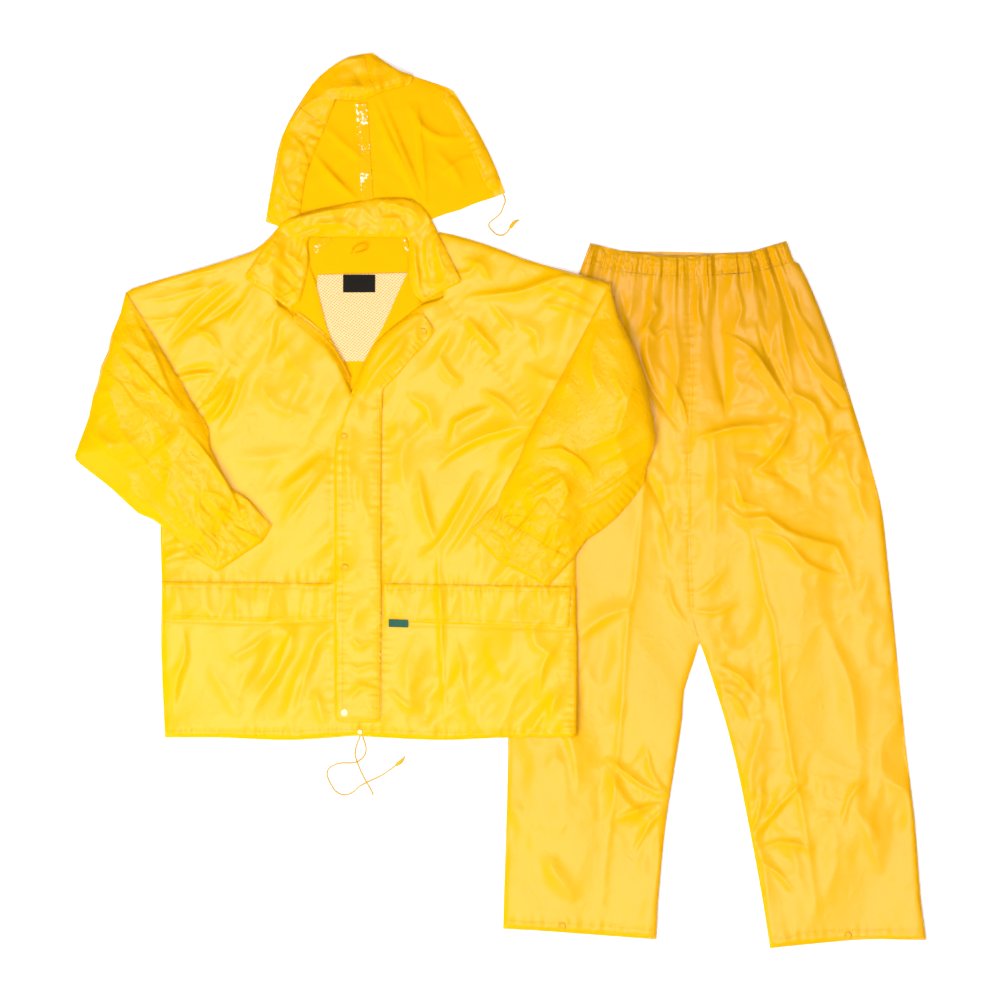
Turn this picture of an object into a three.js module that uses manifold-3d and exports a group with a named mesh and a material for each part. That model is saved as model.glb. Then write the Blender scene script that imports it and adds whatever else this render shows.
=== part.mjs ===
// Rain suit laid flat: a jacket with its hood, and trousers that lie partly under it, in millimetres.
// +Z points up off the surface and +Y runs from the hems to the necks. The origin is on the surface,
// under the middle of the whole set.
import * as THREE from "three";
import { mergeVertices } from "three/addons/utils/BufferGeometryUtils.js";
import Module from "manifold-3d";

const wasm = await Module();
wasm.setup();

// Driving dimensions
const CLOTH = 1.2; // wall of a panel
const SEAM_GAP = 0.3; // between pieces that meet
const FLATNESS = 1.5; // how far its faces may stray from those points
const LAYER = CLOTH + SEAM_GAP; // from the top of one panel to the top of the one on it
const SPAN = 1600; // side of the square grid of points that shape the cloth
const CELLS = 64; // cells along it
const SIZE = CELLS + 1;
const COVER_MARGIN = 26; // how far past its edge a layer still holds up the next
const DRAPE = 0.2; // steepest fall of cloth past the edge of what it lies on
const COPLANAR = 0.01; // faces flatter than this are joined
const CORD_RADIUS = 1;
const STUD_RADIUS = 6;
const STUD_HEIGHT = 2.2;
const WAIST_DEPTH = 32; // height of the elastic waistband
const WAIST_SPREAD = 1.075; // how much wider the waistband's foot is than its top
const WAIST_GATHERS = 44;
const CUFF_GATHERS = 11;
const GATHER_HEIGHT = 4;

const YELLOW = 0xf2c200;
const INSIDE_YELLOW = 0xf0b400;
const TROUSER_YELLOW = 0xf0ba08;
const CREAM = 0xf3e3a8;
const DARK = 0x1c1a18;
const GREEN = 0x1f5a3c;

// Rows of numbers under named columns.
function table(columns, rows) {
  const names = columns.split(" ");
  return rows.map((row) => Object.fromEntries(row.map((value, i) => [names[i], value])));
}

const points = (rows) => table("x y", rows);
const reversed = (rows) => [...rows].reverse();
const shifted = (rows, dx, dy = 0) => rows.map((row) => ({ x: row.x + dx, y: row.y + dy }));

const object = new THREE.Group();
object.name = "rain_suit";

function addMesh(name, geometry, color, roughness = 0.4) {
  const material = new THREE.MeshStandardMaterial({ color, roughness, metalness: 0 });
  const mesh = new THREE.Mesh(geometry, material);
  mesh.name = name;
  object.add(mesh);
  return mesh;
}

// Solids to and from manifold-3d
function manifoldOf(geometry) {
  const bare = new THREE.BufferGeometry();
  bare.setAttribute("position", geometry.getAttribute("position"));
  bare.setIndex(geometry.index);
  const merged = mergeVertices(bare, 1e-4);
  const vertProperties = new Float32Array(merged.attributes.position.array);
  const triVerts = new Uint32Array(merged.index.array);
  return new wasm.Manifold(new wasm.Mesh({ numProp: 3, vertProperties, triVerts }));
}

function geometryOf(solid) {
  const mesh = solid.getMesh();
  const geometry = new THREE.BufferGeometry();
  geometry.setAttribute("position", new THREE.BufferAttribute(new Float32Array(mesh.vertProperties), 3));
  geometry.setIndex(new THREE.BufferAttribute(new Uint32Array(mesh.triVerts), 1));
  return geometry;
}

// An upright prism on an outline.
function prism(outline, low, high) {
  const shape = new THREE.Shape(outline.map((p) => new THREE.Vector2(p.x, p.y)));
  const geometry = new THREE.ExtrudeGeometry(shape, { depth: high - low, bevelEnabled: false });
  geometry.translate(0, 0, low);
  return geometry;
}

// Distance from an outline, below zero inside it.
function outlineDistance(outline, x, y) {
  let inside = false;
  let nearest = Infinity;
  outline.forEach((a, i) => {
    const b = outline[(i + 1) % outline.length];
    nearest = Math.min(nearest, segmentDistance(a.x, a.y, b.x, b.y, x, y));
    if (a.y > y !== b.y > y && x < a.x + ((y - a.y) * (b.x - a.x)) / (b.y - a.y)) inside = !inside;
  });
  return inside ? -nearest : nearest;
}

function segmentDistance(x0, y0, x1, y1, x, y) {
  const dx = x1 - x0;
  const dy = y1 - y0;
  const along = THREE.MathUtils.clamp(((x - x0) * dx + (y - y0) * dy) / (dx * dx + dy * dy || 1), 0, 1);
  return Math.hypot(x - x0 - along * dx, y - y0 - along * dy);
}

// A fold is a rounded ridge along a line, or a trough where its height is below zero.
function foldHeight(folds, x, y) {
  let ridge = 0;
  let trough = 0;
  for (const fold of folds) {
    const away = segmentDistance(fold.x0, fold.y0, fold.x1, fold.y1, x, y) / fold.half;
    const rise = away < 1 ? fold.high * (1 - away * away) ** 2 : 0;
    ridge = Math.max(ridge, rise);
    trough = Math.min(trough, rise);
  }
  return ridge + trough;
}

// A layer is the top of the cloth as heights at the points of one square grid over the whole set. It
// lies on the layers under it, falls no steeper than DRAPE past their edges, and is lifted by its
// loft, which fades to its outline and to an opening in it, and by its folds.
const layers = [];
function layer({ outline, under = [], loft = 0, loftReach = 40, folds = [], opening = null }) {
  const made = { heights: new Float64Array(SIZE * SIZE).fill(CLOTH), covers: new Uint8Array(SIZE * SIZE) };
  const each = (visit) => {
    for (let k = 0; k < SIZE * SIZE; k++) visit(k, gridPlace(k % SIZE), gridPlace(Math.floor(k / SIZE)));
  };
  each((k) => {
    for (const lower of under) {
      if (lower.covers[k]) made.heights[k] = Math.max(made.heights[k], lower.heights[k] + LAYER);
    }
  });
  drape(made.heights);
  each((k, x, y) => {
    const away = outlineDistance(outline, x, y);
    const fromEdge = opening ? Math.min(-away, outlineDistance(opening, x, y)) : -away;
    const puff = loft * THREE.MathUtils.clamp(fromEdge / loftReach, 0, 1);
    made.heights[k] += Math.max(0, puff + foldHeight(folds, x, y));
    made.covers[k] = away < COVER_MARGIN ? 1 : 0;
  });
  layers.push(made);
  return made;
}

const gridPlace = (i) => (i / CELLS - 0.5) * SPAN;

// Sweeps the grid both ways until no point is more than DRAPE below its neighbours.
function drape(heights) {
  const neighbours = [[-1, 0], [0, -1], [-1, -1], [1, -1]];
  for (const way of [1, -1, 1, -1]) {
    for (let n = 0; n < SIZE * SIZE; n++) {
      const k = way > 0 ? n : SIZE * SIZE - 1 - n;
      for (const [di, dj] of neighbours) {
        const a = (k % SIZE) + way * di;
        const b = Math.floor(k / SIZE) + way * dj;
        if (a < 0 || b < 0 || a > CELLS || b > CELLS) continue;
        const fall = (DRAPE * SPAN * Math.hypot(di, dj)) / CELLS;
        heights[k] = Math.max(heights[k], heights[b * SIZE + a] - fall);
      }
    }
  }
}

// Halves the grid's square into right triangles, and each of those again, down to one cell or until
// no layer strays more than FLATNESS from them and none ends inside one. Every layer is cut from the
// same triangles, so the gap between two layers holds all over. Triangles are numbered from 2, and
// the halves of triangle n are 2n and 2n + 1.
function sharedFaces() {
  const errors = new Float64Array(SIZE * SIZE);
  const at = (p) => p[1] * SIZE + p[0];
  const middle = (p, q) => [(p[0] + q[0]) / 2, (p[1] + q[1]) / 2];
  const whole = (p) => Number.isInteger(p[0]) && Number.isInteger(p[1]);
  const corners = (number) => {
    const path = number.toString(2).slice(1);
    let [a, b, c] = path.endsWith("1")
      ? [[0, 0], [CELLS, CELLS], [CELLS, 0]]
      : [[CELLS, CELLS], [0, 0], [0, CELLS]];
    for (let n = path.length - 2; n >= 0; n--) {
      const m = middle(a, b);
      [a, b, c] = path[n] === "1" ? [c, a, m] : [b, c, m];
    }
    return [a, b, c];
  };
  for (let number = 2 * CELLS * CELLS - 1; number > 1; number--) {
    const [a, b, c] = corners(number);
    const m = at(middle(a, b));
    for (const { heights, covers } of layers) {
      const edge = [a, b, c].some((corner) => covers[at(corner)] !== covers[m]);
      const stray = covers[m] ? Math.abs((heights[at(a)] + heights[at(b)]) / 2 - heights[m]) : 0;
      errors[m] = Math.max(errors[m], edge ? Infinity : stray);
    }
    for (const half of [middle(a, c), middle(b, c)]) {
      if (whole(half)) errors[m] = Math.max(errors[m], errors[at(half)]);
    }
  }
  const faces = [];
  const split = (a, b, c) => {
    const m = middle(a, b);
    if (whole(m) && errors[at(m)] > FLATNESS) {
      split(c, a, m);
      split(b, c, m);
    } else {
      faces.push([at(a), at(c), at(b)]);
    }
  };
  split([0, 0], [CELLS, CELLS], [CELLS, 0]);
  split([CELLS, CELLS], [0, 0], [0, CELLS]);
  return faces;
}

// A layer as a wall, whose underside repeats its top one thickness lower.
function wallOf({ heights }, faces) {
  const used = [...new Set(faces.flat())];
  const place = new Map(used.map((v, n) => [v, n]));
  const upper = used.flatMap((v) => [gridPlace(v % SIZE), gridPlace(Math.floor(v / SIZE)), heights[v]]);
  const lower = upper.map((value, n) => (n % 3 === 2 ? value - CLOTH : value));
  const renumbered = faces.map((face) => face.map((v) => place.get(v)));
  return manifoldOf(closed([...upper, ...lower], renumbered, used.length));
}

// Height of a layer's top over a point, by the shared triangles.
function topOf({ heights }, x, y) {
  for (const [a, b, c] of shared) {
    const [ax, ay] = [gridPlace(a % SIZE), gridPlace(Math.floor(a / SIZE))];
    const [bx, by] = [gridPlace(b % SIZE), gridPlace(Math.floor(b / SIZE))];
    const [cx, cy] = [gridPlace(c % SIZE), gridPlace(Math.floor(c / SIZE))];
    const area = (bx - ax) * (cy - ay) - (cx - ax) * (by - ay);
    const u = ((x - ax) * (cy - ay) - (cx - ax) * (y - ay)) / area;
    const v = ((bx - ax) * (y - ay) - (x - ax) * (by - ay)) / area;
    if (u < 0 || v < 0 || u + v > 1) continue;
    return heights[a] + u * (heights[b] - heights[a]) + v * (heights[c] - heights[a]);
  }
  return 0;
}

// Closes a sheet of faces and its copy, whose points follow after `offset`, with a rim.
function closed(position, faces, offset) {
  const index = [];
  const edges = new Set(faces.flatMap(([a, b, c]) => [`${a},${b}`, `${b},${c}`, `${c},${a}`]));
  for (const [a, b, c] of faces) {
    index.push(a, b, c, a + offset, c + offset, b + offset);
  }
  for (const edge of edges) {
    const [a, b] = edge.split(",").map(Number);
    if (!edges.has(`${b},${a}`)) index.push(b, a, a + offset, b, a + offset, b + offset);
  }
  const geometry = new THREE.BufferGeometry();
  geometry.setAttribute("position", new THREE.BufferAttribute(new Float32Array(position), 3));
  geometry.setIndex(index);
  return geometry;
}

// A panel is the part of a layer's wall inside an outline. It is cut once every layer is known.
const panels = [];
const panel = (name, made, outline, color) => panels.push({ name, made, outline, color });

// Trousers
const WAIST_EDGE = points([
  [143, 412], [190, 400], [259, 392], [320, 392], [400, 398], [457, 415],
]);
const TROUSER_RIGHT_SIDE = points([
  [477, 379], [488, 358], [498, 336], [511, 305], [536, 238], [562, 153], [589, 60], [606, 1], [619, -101],
  [634, -244], [647, -387], [662, -509], [672, -637], [681, -703],
]);
const TROUSER_RIGHT_HEM = points([[586, -702], [509, -708], [431, -716]]);
const RIGHT_INSEAM = points([
  [417, -626], [403, -550], [385, -458], [370, -392], [356, -341], [344, -305], [325, -244],
]);
const CROTCH = points([[318, -226]]);
const LEFT_INSEAM = points([
  [308, -259], [293, -305], [290, -351], [281, -407], [271, -468], [263, -524], [252, -642], [249, -702],
]);
const TROUSER_LEFT_HEM = points([[157, -696], [60, -688], [4, -685]]);
const TROUSER_LEFT_SIDE = points([
  [9, -458], [12, -382], [8, -159], [12, -9], [47, 129], [95, 273], [125, 362],
]);
const CENTRE_SEAM = points([
  [300, 359.5], [304, 207], [300, 100], [300, 7], [301, -100], [305, -180],
]);
const waistMiddle = (WAIST_EDGE[0].x + WAIST_EDGE[WAIST_EDGE.length - 1].x) / 2;
const waistFoot = WAIST_EDGE.map((p) => ({
  x: waistMiddle + WAIST_SPREAD * (p.x - waistMiddle), y: p.y - WAIST_DEPTH,
}));
const bandFoot = shifted(waistFoot, 0, -SEAM_GAP);
const TROUSERS = [
  ...bandFoot, ...TROUSER_RIGHT_SIDE, ...TROUSER_RIGHT_HEM, ...RIGHT_INSEAM, ...CROTCH,
  ...LEFT_INSEAM, ...TROUSER_LEFT_HEM, ...TROUSER_LEFT_SIDE,
];

const TROUSER_FOLDS = table("x0 y0 x1 y1 half high", [
  [330, 330, 352, 215, 26, 7],
  [372, 330, 372, 170, 22, -6],
  [305, 98, 368, 114, 20, 7],
  [368, 114, 468, 129, 24, 9],
  [468, 129, 411, 47, 26, 8],
  [387, 273, 462, 135, 20, 6],
  [429, 246, 467, 172, 20, 6],
  [467, 172, 520, 119, 20, 7],
  [520, 119, 520, 58, 20, 6],
  [549, 114, 497, 42, 22, 6],
  [352, 0, 424, -25, 24, 8],
  [424, -25, 538, -74, 26, 11],
  [538, -74, 559, -126, 24, 8],
  [366, 129, 392, -26, 20, 4],
  [392, -26, 451, -327, 18, 5],
  [451, -327, 488, -530, 18, 5],
  [488, -530, 508, -672, 18, 5],
  [122, -223, 212, -169, 24, 6],
  [215, -134, 205, -180, 18, 5],
  [192, -351, 168, -588, 18, 5],
  [164, -418, 245, -516, 24, 6],
  [60, -560, 120, -640, 26, 5],
  [560, -480, 610, -600, 26, 5],
  [258, 50, 268, -110, 26, 6],
]);
// Soft pleats that run down from the waistband, with their tops at even steps.
const PLEATS = 6;
for (let n = 0; n < PLEATS; n++) {
  const x = 175 + n * 50;
  const long = 52 + 34 * ((n * 5) % 4);
  const spread = (n - PLEATS / 2) * 6;
  TROUSER_FOLDS.push({ x0: x, y0: 360, x1: x + spread, y1: 360 - long, half: 26, high: 7 });
}

const trouserBack = layer({ outline: TROUSERS });
const trouserFront = layer({ outline: TROUSERS, under: [trouserBack], loft: 9, folds: TROUSER_FOLDS });
const leftLeg = [
  ...bandFoot.slice(0, 3), ...shifted(CENTRE_SEAM, -SEAM_GAP), ...shifted(CROTCH, -SEAM_GAP),
  ...LEFT_INSEAM, ...TROUSER_LEFT_HEM, ...TROUSER_LEFT_SIDE,
];
const rightLeg = [
  ...bandFoot.slice(3), ...TROUSER_RIGHT_SIDE, ...TROUSER_RIGHT_HEM, ...RIGHT_INSEAM, ...CROTCH,
  ...reversed(CENTRE_SEAM),
];
panel("trouser_back_left", trouserBack, leftLeg, TROUSER_YELLOW);
panel("trouser_back_right", trouserBack, rightLeg, TROUSER_YELLOW);
panel("trouser_front_left", trouserFront, leftLeg, TROUSER_YELLOW);
panel("trouser_front_right", trouserFront, rightLeg, TROUSER_YELLOW);

// Point at a share of the length of a row of points.
function alongEdge(edge, share) {
  const lengths = edge.slice(1).map((p, i) => Math.hypot(p.x - edge[i].x, p.y - edge[i].y));
  let left = share * lengths.reduce((sum, long) => sum + long, 0);
  let n = 0;
  while (n < lengths.length - 1 && left > lengths[n]) left -= lengths[n++];
  const part = left / lengths[n];
  return {
    x: THREE.MathUtils.lerp(edge[n].x, edge[n + 1].x, part),
    y: THREE.MathUtils.lerp(edge[n].y, edge[n + 1].y, part),
  };
}

// Cloth drawn up on elastic: a wall between two edges that rises and falls once for each gather.
function gatheredBand({ name, edge, foot, gathers, floor, rise, color }) {
  const columns = 2 * gathers;
  const upper = [];
  for (const line of [edge, foot]) {
    for (let c = 0; c <= columns; c++) {
      const p = alongEdge(line, c / columns);
      const swing = c % 2 ? 0 : rise * (0.8 + 0.2 * Math.sin(c * 1.7 + line.length));
      upper.push(p.x, p.y, floor + CLOTH + swing);
    }
  }
  const lower = upper.map((value, n) => (n % 3 === 2 ? value - CLOTH : value));
  const width = columns + 1;
  const faces = [];
  for (let c = 0; c < columns; c++) {
    faces.push([width + c, width + c + 1, c + 1], [width + c, c + 1, c]);
  }
  addMesh(name, closed([...upper, ...lower], faces, 2 * width), color);
}

// The waistband's front is gathered, and its back lies flat under it.
const BACK_RISE = 6; // the back of the waistband shows this far above the front
const bandBack = [
  ...WAIST_EDGE.map((p, i) => ({ x: p.x, y: p.y + (i > 1 && i < 4 ? BACK_RISE : 0) })),
  ...reversed(waistFoot),
];
addMesh("waistband_back", prism(bandBack, 0, CLOTH), TROUSER_YELLOW);
gatheredBand({
  name: "waistband_front", edge: WAIST_EDGE, foot: waistFoot,
  gathers: WAIST_GATHERS, floor: CLOTH + SEAM_GAP, rise: GATHER_HEIGHT, color: TROUSER_YELLOW,
});

// Hood
const HOOD_LEFT = points([
  [-376, 446], [-366, 505], [-358, 544], [-350, 582], [-323, 629], [-302, 665], [-273, 692],
  [-241, 710], [-205, 716],
]);
const HOOD_RIGHT = points([[-164, 688], [-123, 674], [-89, 662], [-76, 655]]);
const HOOD_EDGE = points([[-58, 625], [-31, 580], [-9, 534], [7, 492]]);
const HOOD_FOOT = points([
  [-8, 486], [-42, 475], [-65, 465], [-110, 450], [-130, 425.4], [-345, 425.4], [-356, 439],
]);
const HOOD = [...HOOD_LEFT, ...HOOD_RIGHT, ...HOOD_EDGE, ...HOOD_FOOT];
const FACE_OPENING = points([
  [-145, 665], [-188, 655], [-205, 647], [-225, 640], [-265, 642], [-280, 599], [-310, 527],
  [-321, 460],
]);
const HOOD_FOLDS = table("x0 y0 x1 y1 half high", [
  [-204, 640, -138, 485, 20, 9],
  [-232, 600, -212, 480, 26, -5],
  [-132, 620, -120, 480, 24, 8],
  [-300, 540, -240, 480, 26, 6],
  [-90, 600, -60, 500, 26, 7],
  [-350, 540, -335, 450, 20, 6],
  [-280, 650, -230, 690, 24, 7],
]);
const hoodBack = layer({ outline: HOOD, loft: 2, folds: HOOD_FOLDS });
const hoodFront = layer({ outline: HOOD, under: [hoodBack], loft: 5 });
const HOOD_SIDE = [
  ...HOOD_LEFT.slice(0, 5), ...FACE_OPENING.slice(5), ...points([[-323, 425.4], [-345, 425.4], [-356, 439]]),
];
const HOOD_BRIM = [
  { x: -322.5, y: 629.6 }, ...HOOD_LEFT.slice(5), ...points([[-164, 688], [-140, 680]]),
  ...FACE_OPENING.slice(0, 5), { x: -279.6, y: 599.6 },
];
panel("hood_back", hoodBack, HOOD, INSIDE_YELLOW);
panel("hood_side", hoodFront, HOOD_SIDE, YELLOW);
panel("hood_brim", hoodFront, HOOD_BRIM, YELLOW);
const HOOD_HEM = [
  ...points([[-89, 661], [-76, 655]]), ...HOOD_EDGE,
  ...points([[-8, 486], [-24, 504], [-46, 556], [-66, 598], [-92, 640]]),
];
panel("hood_hem", hoodFront, HOOD_HEM, YELLOW);
const HOOD_TAPE = points([[-232, 634], [-214, 636], [-204, 478], [-222, 478]]);
panel("hood_tape", layer({ outline: HOOD_TAPE, under: [hoodBack] }), HOOD_TAPE, INSIDE_YELLOW);

// Jacket back and the back halves of the sleeves
const LEFT_RAGLAN = points([[-357, 314], [-401, 255], [-430, 220], [-460, 179], [-486, 143], [-537, 82]]);
const RIGHT_RAGLAN = points([[-92, 325], [-63, 286], [-31, 247], [-7, 215], [23, 176], [57, 131], [114, 68]]);
const LEFT_FOLD = points([
  [-681, 72], [-658, 135], [-652, 166], [-644, 189], [-639, 215], [-628, 238], [-623, 263],
  [-608, 299], [-600, 332],
]);
const RIGHT_FOLD = points([
  [175, 347], [187, 296], [211, 249], [226, 212], [240, 151], [248, 102], [246, 85],
]);
const LEFT_SHOULDER = points([[-590, 339], [-470, 377], [-396, 399], [-364, 427]]);
const RIGHT_SHOULDER = points([[-97, 429], [-31, 412], [42, 385], [79, 374], [125, 362]]);
const JACKET_LEFT_SIDE = points([[-537, 80], [-544, -42], [-542, -130], [-543, -232], [-540, -316]]);
const HEM = points([
  [-537, -379], [-455, -379], [-335, -383], [-230, -376], [-98, -383], [12, -379], [122, -378],
]);
const JACKET_RIGHT_SIDE = points([[123, -239], [121, -130], [120, -89], [114, 66]]);
const JACKET = [
  ...LEFT_SHOULDER, ...RIGHT_SHOULDER, ...RIGHT_FOLD, ...reversed(JACKET_RIGHT_SIDE),
  ...reversed(HEM), ...reversed(JACKET_LEFT_SIDE), ...LEFT_FOLD,
];
const NECK_LEFT = { x: -345, y: 425 };
const NECK_RIGHT = { x: -112, y: 425 };
const BODY = [
  NECK_LEFT, NECK_RIGHT, ...RIGHT_RAGLAN, ...reversed(JACKET_RIGHT_SIDE), ...reversed(HEM),
  ...reversed(JACKET_LEFT_SIDE), ...reversed(LEFT_RAGLAN),
];
const SLEEVE_LEFT = [
  ...LEFT_FOLD, ...LEFT_SHOULDER, { x: NECK_LEFT.x - 1, y: NECK_LEFT.y }, ...shifted(LEFT_RAGLAN, -0.5),
];
const SLEEVE_RIGHT = [
  { x: NECK_RIGHT.x + 1, y: NECK_RIGHT.y }, ...RIGHT_SHOULDER, ...RIGHT_FOLD,
  ...reversed(shifted(RIGHT_RAGLAN, 0.5)),
];
const trousers = [trouserBack, trouserFront];
const jacketBack = layer({ outline: JACKET, under: trousers });
panel("jacket_back", jacketBack, BODY, YELLOW);
panel("sleeve_left_back", jacketBack, SLEEVE_LEFT, YELLOW);
panel("sleeve_right_back", jacketBack, SLEEVE_RIGHT, YELLOW);

// Mesh lining, bare label and hanging loop inside the open neck
const MESH = points([
  [-292, 361], [-148, 364], [-160, 330], [-190, 270], [-214, 223], [-262, 223], [-296, 300],
]);
const LABEL = points([[-252, 361], [-201, 361], [-201, 333], [-252, 333]]);
const LOOP = points([[-242, 392], [-213, 392], [-213, 401], [-221, 410], [-234, 410], [-242, 401]]);
const mesh = layer({ outline: MESH, under: [jacketBack] });
panel("mesh_lining", mesh, MESH, CREAM);
const label = layer({ outline: LABEL, under: [mesh] });
panel("neck_label", label, LABEL, DARK);
const loop = layer({ outline: LOOP, under: [jacketBack] });
panel("hanging_loop", loop, LOOP, YELLOW);

// Fronts and the front halves of the sleeves
const ZIP_LINE = -227;
const LEFT_NECK_EDGE = points([
  [-348, 310], [-312, 278], [-276, 246], [-262, 226], [-248, 198], [-238, 172], [ZIP_LINE, 150],
]);
const RIGHT_LAPEL = points([[-127, 314], [-166, 283], [-198, 253], [-220, 214], [-239, 165]]);
const JACKET_FOLDS = table("x0 y0 x1 y1 half high", [
  [-425, 365, -515, 262, 26, 9],
  [-400, 345, -455, 285, 20, 7],
  [-390, 300, -440, 240, 22, -5],
  [-270, 66, -348, -34, 26, 8],
  [-273, 81, -353, 12, 20, 5],
  [-292, -223, -329, -340, 24, 7],
  [-327, -198, -356, -267, 20, 6],
  [-364, -206, -430, -252, 22, 6],
  [-507, -201, -504, -248, 20, 6],
  [-504, -248, -523, -340, 22, 6],
  [-43, 327, 79, 353, 24, 9],
  [79, 353, 148, 335, 24, 9],
  [74, 335, 148, 303, 20, 5],
  [-55, 295, -1, 233, 20, 7],
  [55, 121, -30, 100, 22, 8],
  [-30, 100, -103, 49, 24, 8],
  [-35, 49, -99, -66, 24, 9],
  [-1, 44, -89, -95, 20, 7],
  [-132, 49, -103, -68, 24, 7],
  [-97, -186, -88, -357, 20, 8],
  [60, -180, 40, -330, 30, 6],
]);
const NECK_OPENING = [NECK_LEFT, ...LEFT_NECK_EDGE, ...reversed(RIGHT_LAPEL), NECK_RIGHT];
const jacketFront = layer({
  outline: JACKET, under: [jacketBack, mesh], loft: 8, folds: JACKET_FOLDS, opening: NECK_OPENING,
});
const FRONT_LEFT = [
  ...reversed(LEFT_RAGLAN), ...LEFT_NECK_EDGE, { x: ZIP_LINE, y: -376 }, { x: -335, y: -383 },
  { x: -455, y: -379 }, { x: -537, y: -379 }, ...reversed(JACKET_LEFT_SIDE),
];
const FRONT_RIGHT = [
  ...RIGHT_RAGLAN, ...reversed(JACKET_RIGHT_SIDE), { x: 122, y: -378 }, { x: 12, y: -379 },
  { x: -98, y: -383 }, { x: ZIP_LINE + 2 * SEAM_GAP, y: -377 }, { x: ZIP_LINE + 2 * SEAM_GAP, y: 172 },
  { x: -220, y: 214 }, ...reversed(RIGHT_LAPEL.slice(0, 3)),
];
panel("front_left", jacketFront, FRONT_LEFT, YELLOW);
panel("front_right", jacketFront, FRONT_RIGHT, YELLOW);
panel("sleeve_left_front", jacketFront, SLEEVE_LEFT, YELLOW);
panel("sleeve_right_front", jacketFront, SLEEVE_RIGHT, YELLOW);

// Facings down both sides of the open neck, with the zip's left tape on one of them
const LEFT_OPENING = points([[-309, 385], [-292, 332], [-279, 280], [-264, 241], [-252, 214], [-246, 200]]);
const RIGHT_OPENING = points([[-148, 366], [-164, 332], [-188, 278], [-218, 224], [-234, 178]]);
const FACING_LEFT = [
  ...LEFT_OPENING, { x: -247.5, y: 200 }, { x: -261.6, y: 226.2 }, { x: -275.6, y: 246.4 },
  { x: -311.6, y: 278.4 }, { x: -334.5, y: 298.8 },
];
const FACING_RIGHT = [
  ...RIGHT_OPENING, { x: -227, y: 190 }, ...reversed(shifted(RIGHT_LAPEL.slice(0, 4), -0.5, 0.2)),
];
const facing = layer({ outline: FACING_LEFT, under: [jacketBack, mesh] });
const facingRight = layer({ outline: FACING_RIGHT, under: [jacketBack, mesh] });
panel("facing_left", facing, FACING_LEFT, INSIDE_YELLOW);
panel("facing_right", facingRight, FACING_RIGHT, INSIDE_YELLOW);
const ZIP_TAPE = points([
  [-325, 302], [-303, 286], [-270, 254], [-254, 228], [-238, 196], [-243, 188], [-260, 219],
  [-279, 243], [-311, 272], [-334, 291],
]);
const zip = layer({ outline: ZIP_TAPE, under: [facing, jacketFront] });
panel("zip_tape", zip, ZIP_TAPE, YELLOW);

// Collar in two halves that meet at the centre back
const COLLAR_BACK = -212;
const COLLAR_LEFT = points([
  [COLLAR_BACK, 481], [-233, 477], [-264, 471], [-296, 464], [-320, 457], [-340, 450], [-352, 442],
  [-364, 427], [-412, 356], [-374, 333], [-359, 322], [-338, 306], [-322, 318], [-314, 345],
  [-307, 385], [-309, 415], [-306, 422], [COLLAR_BACK, 421],
]);
const COLLAR_RIGHT = points([
  [COLLAR_BACK + SEAM_GAP, 481], [-188, 484], [-164, 484], [-142, 481], [-127, 471], [-115, 457],
  [-105, 439], [-90, 407], [-73, 373], [-61, 350], [-95, 334], [-125, 317], [-138, 330],
  [-148, 366], [-147, 415], [-150, 421], [COLLAR_BACK + SEAM_GAP, 421],
]);
const COLLAR_FOLDS = table("x0 y0 x1 y1 half high", [
  [-330, 440, -225, 468, 24, 7],
  [-205, 470, -140, 460, 24, 7],
  [-380, 370, -335, 425, 24, 6],
  [-345, 340, -330, 380, 18, 5],
  [-100, 360, -120, 420, 24, 6],
]);
const neckLayers = [hoodBack, hoodFront, jacketBack, jacketFront, facing, facingRight, mesh, zip];
const collarForm = { under: neckLayers, loft: 5, loftReach: 20, folds: COLLAR_FOLDS };
const collarLeft = layer({ outline: COLLAR_LEFT, ...collarForm });
const collarRight = layer({ outline: COLLAR_RIGHT, ...collarForm });
panel("collar_left", collarLeft, COLLAR_LEFT, YELLOW);
panel("collar_right", collarRight, COLLAR_RIGHT, YELLOW);

// Pocket flaps and the bare side tag
const POCKET_LEFT = points([[-542, -130], [-267, -133], [-267, -190], [-400, -192], [-542, -188]]);
const POCKET_RIGHT = points([
  [-187, -133], [-98, -135], [63, -137], [112, -138], [108, -203], [17, -199], [-187, -193],
]);
const TAG = points([[-179, -190], [-148, -191], [-148, -203], [-179, -202]]);
const pocketLeft = layer({ outline: POCKET_LEFT, under: [jacketFront] });
const pocketRight = layer({ outline: POCKET_RIGHT, under: [jacketFront] });
panel("pocket_flap_left", pocketLeft, POCKET_LEFT, YELLOW);
panel("pocket_flap_right", pocketRight, POCKET_RIGHT, YELLOW);
const tag = layer({ outline: TAG, under: [pocketRight, jacketFront] });
panel("pocket_tag", tag, TAG, GREEN);

// Storm flap over the zip: its straight part, and its top turned back along the lapel
const STORM_FLAP = points([
  [-127, 304], [-104, 271], [-124, 246], [-139, 231], [-166, 199], [-188, 177], [-190, 140],
  [-191, -130], [-192, -355], [-265, -354], [-265, -130], [-264, 92], [-239, 161], [-220, 214],
  [-198, 253], [-166, 281],
]);
const STORM_FOLDS = table("x0 y0 x1 y1 half high", [
  [-130, 275, -215, 165, 22, 5],
  [-238, 130, -236, -60, 24, 3],
]);
const storm = layer({ outline: STORM_FLAP, under: [jacketFront, facingRight], folds: STORM_FOLDS });
panel("storm_flap", storm, STORM_FLAP, YELLOW);

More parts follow.
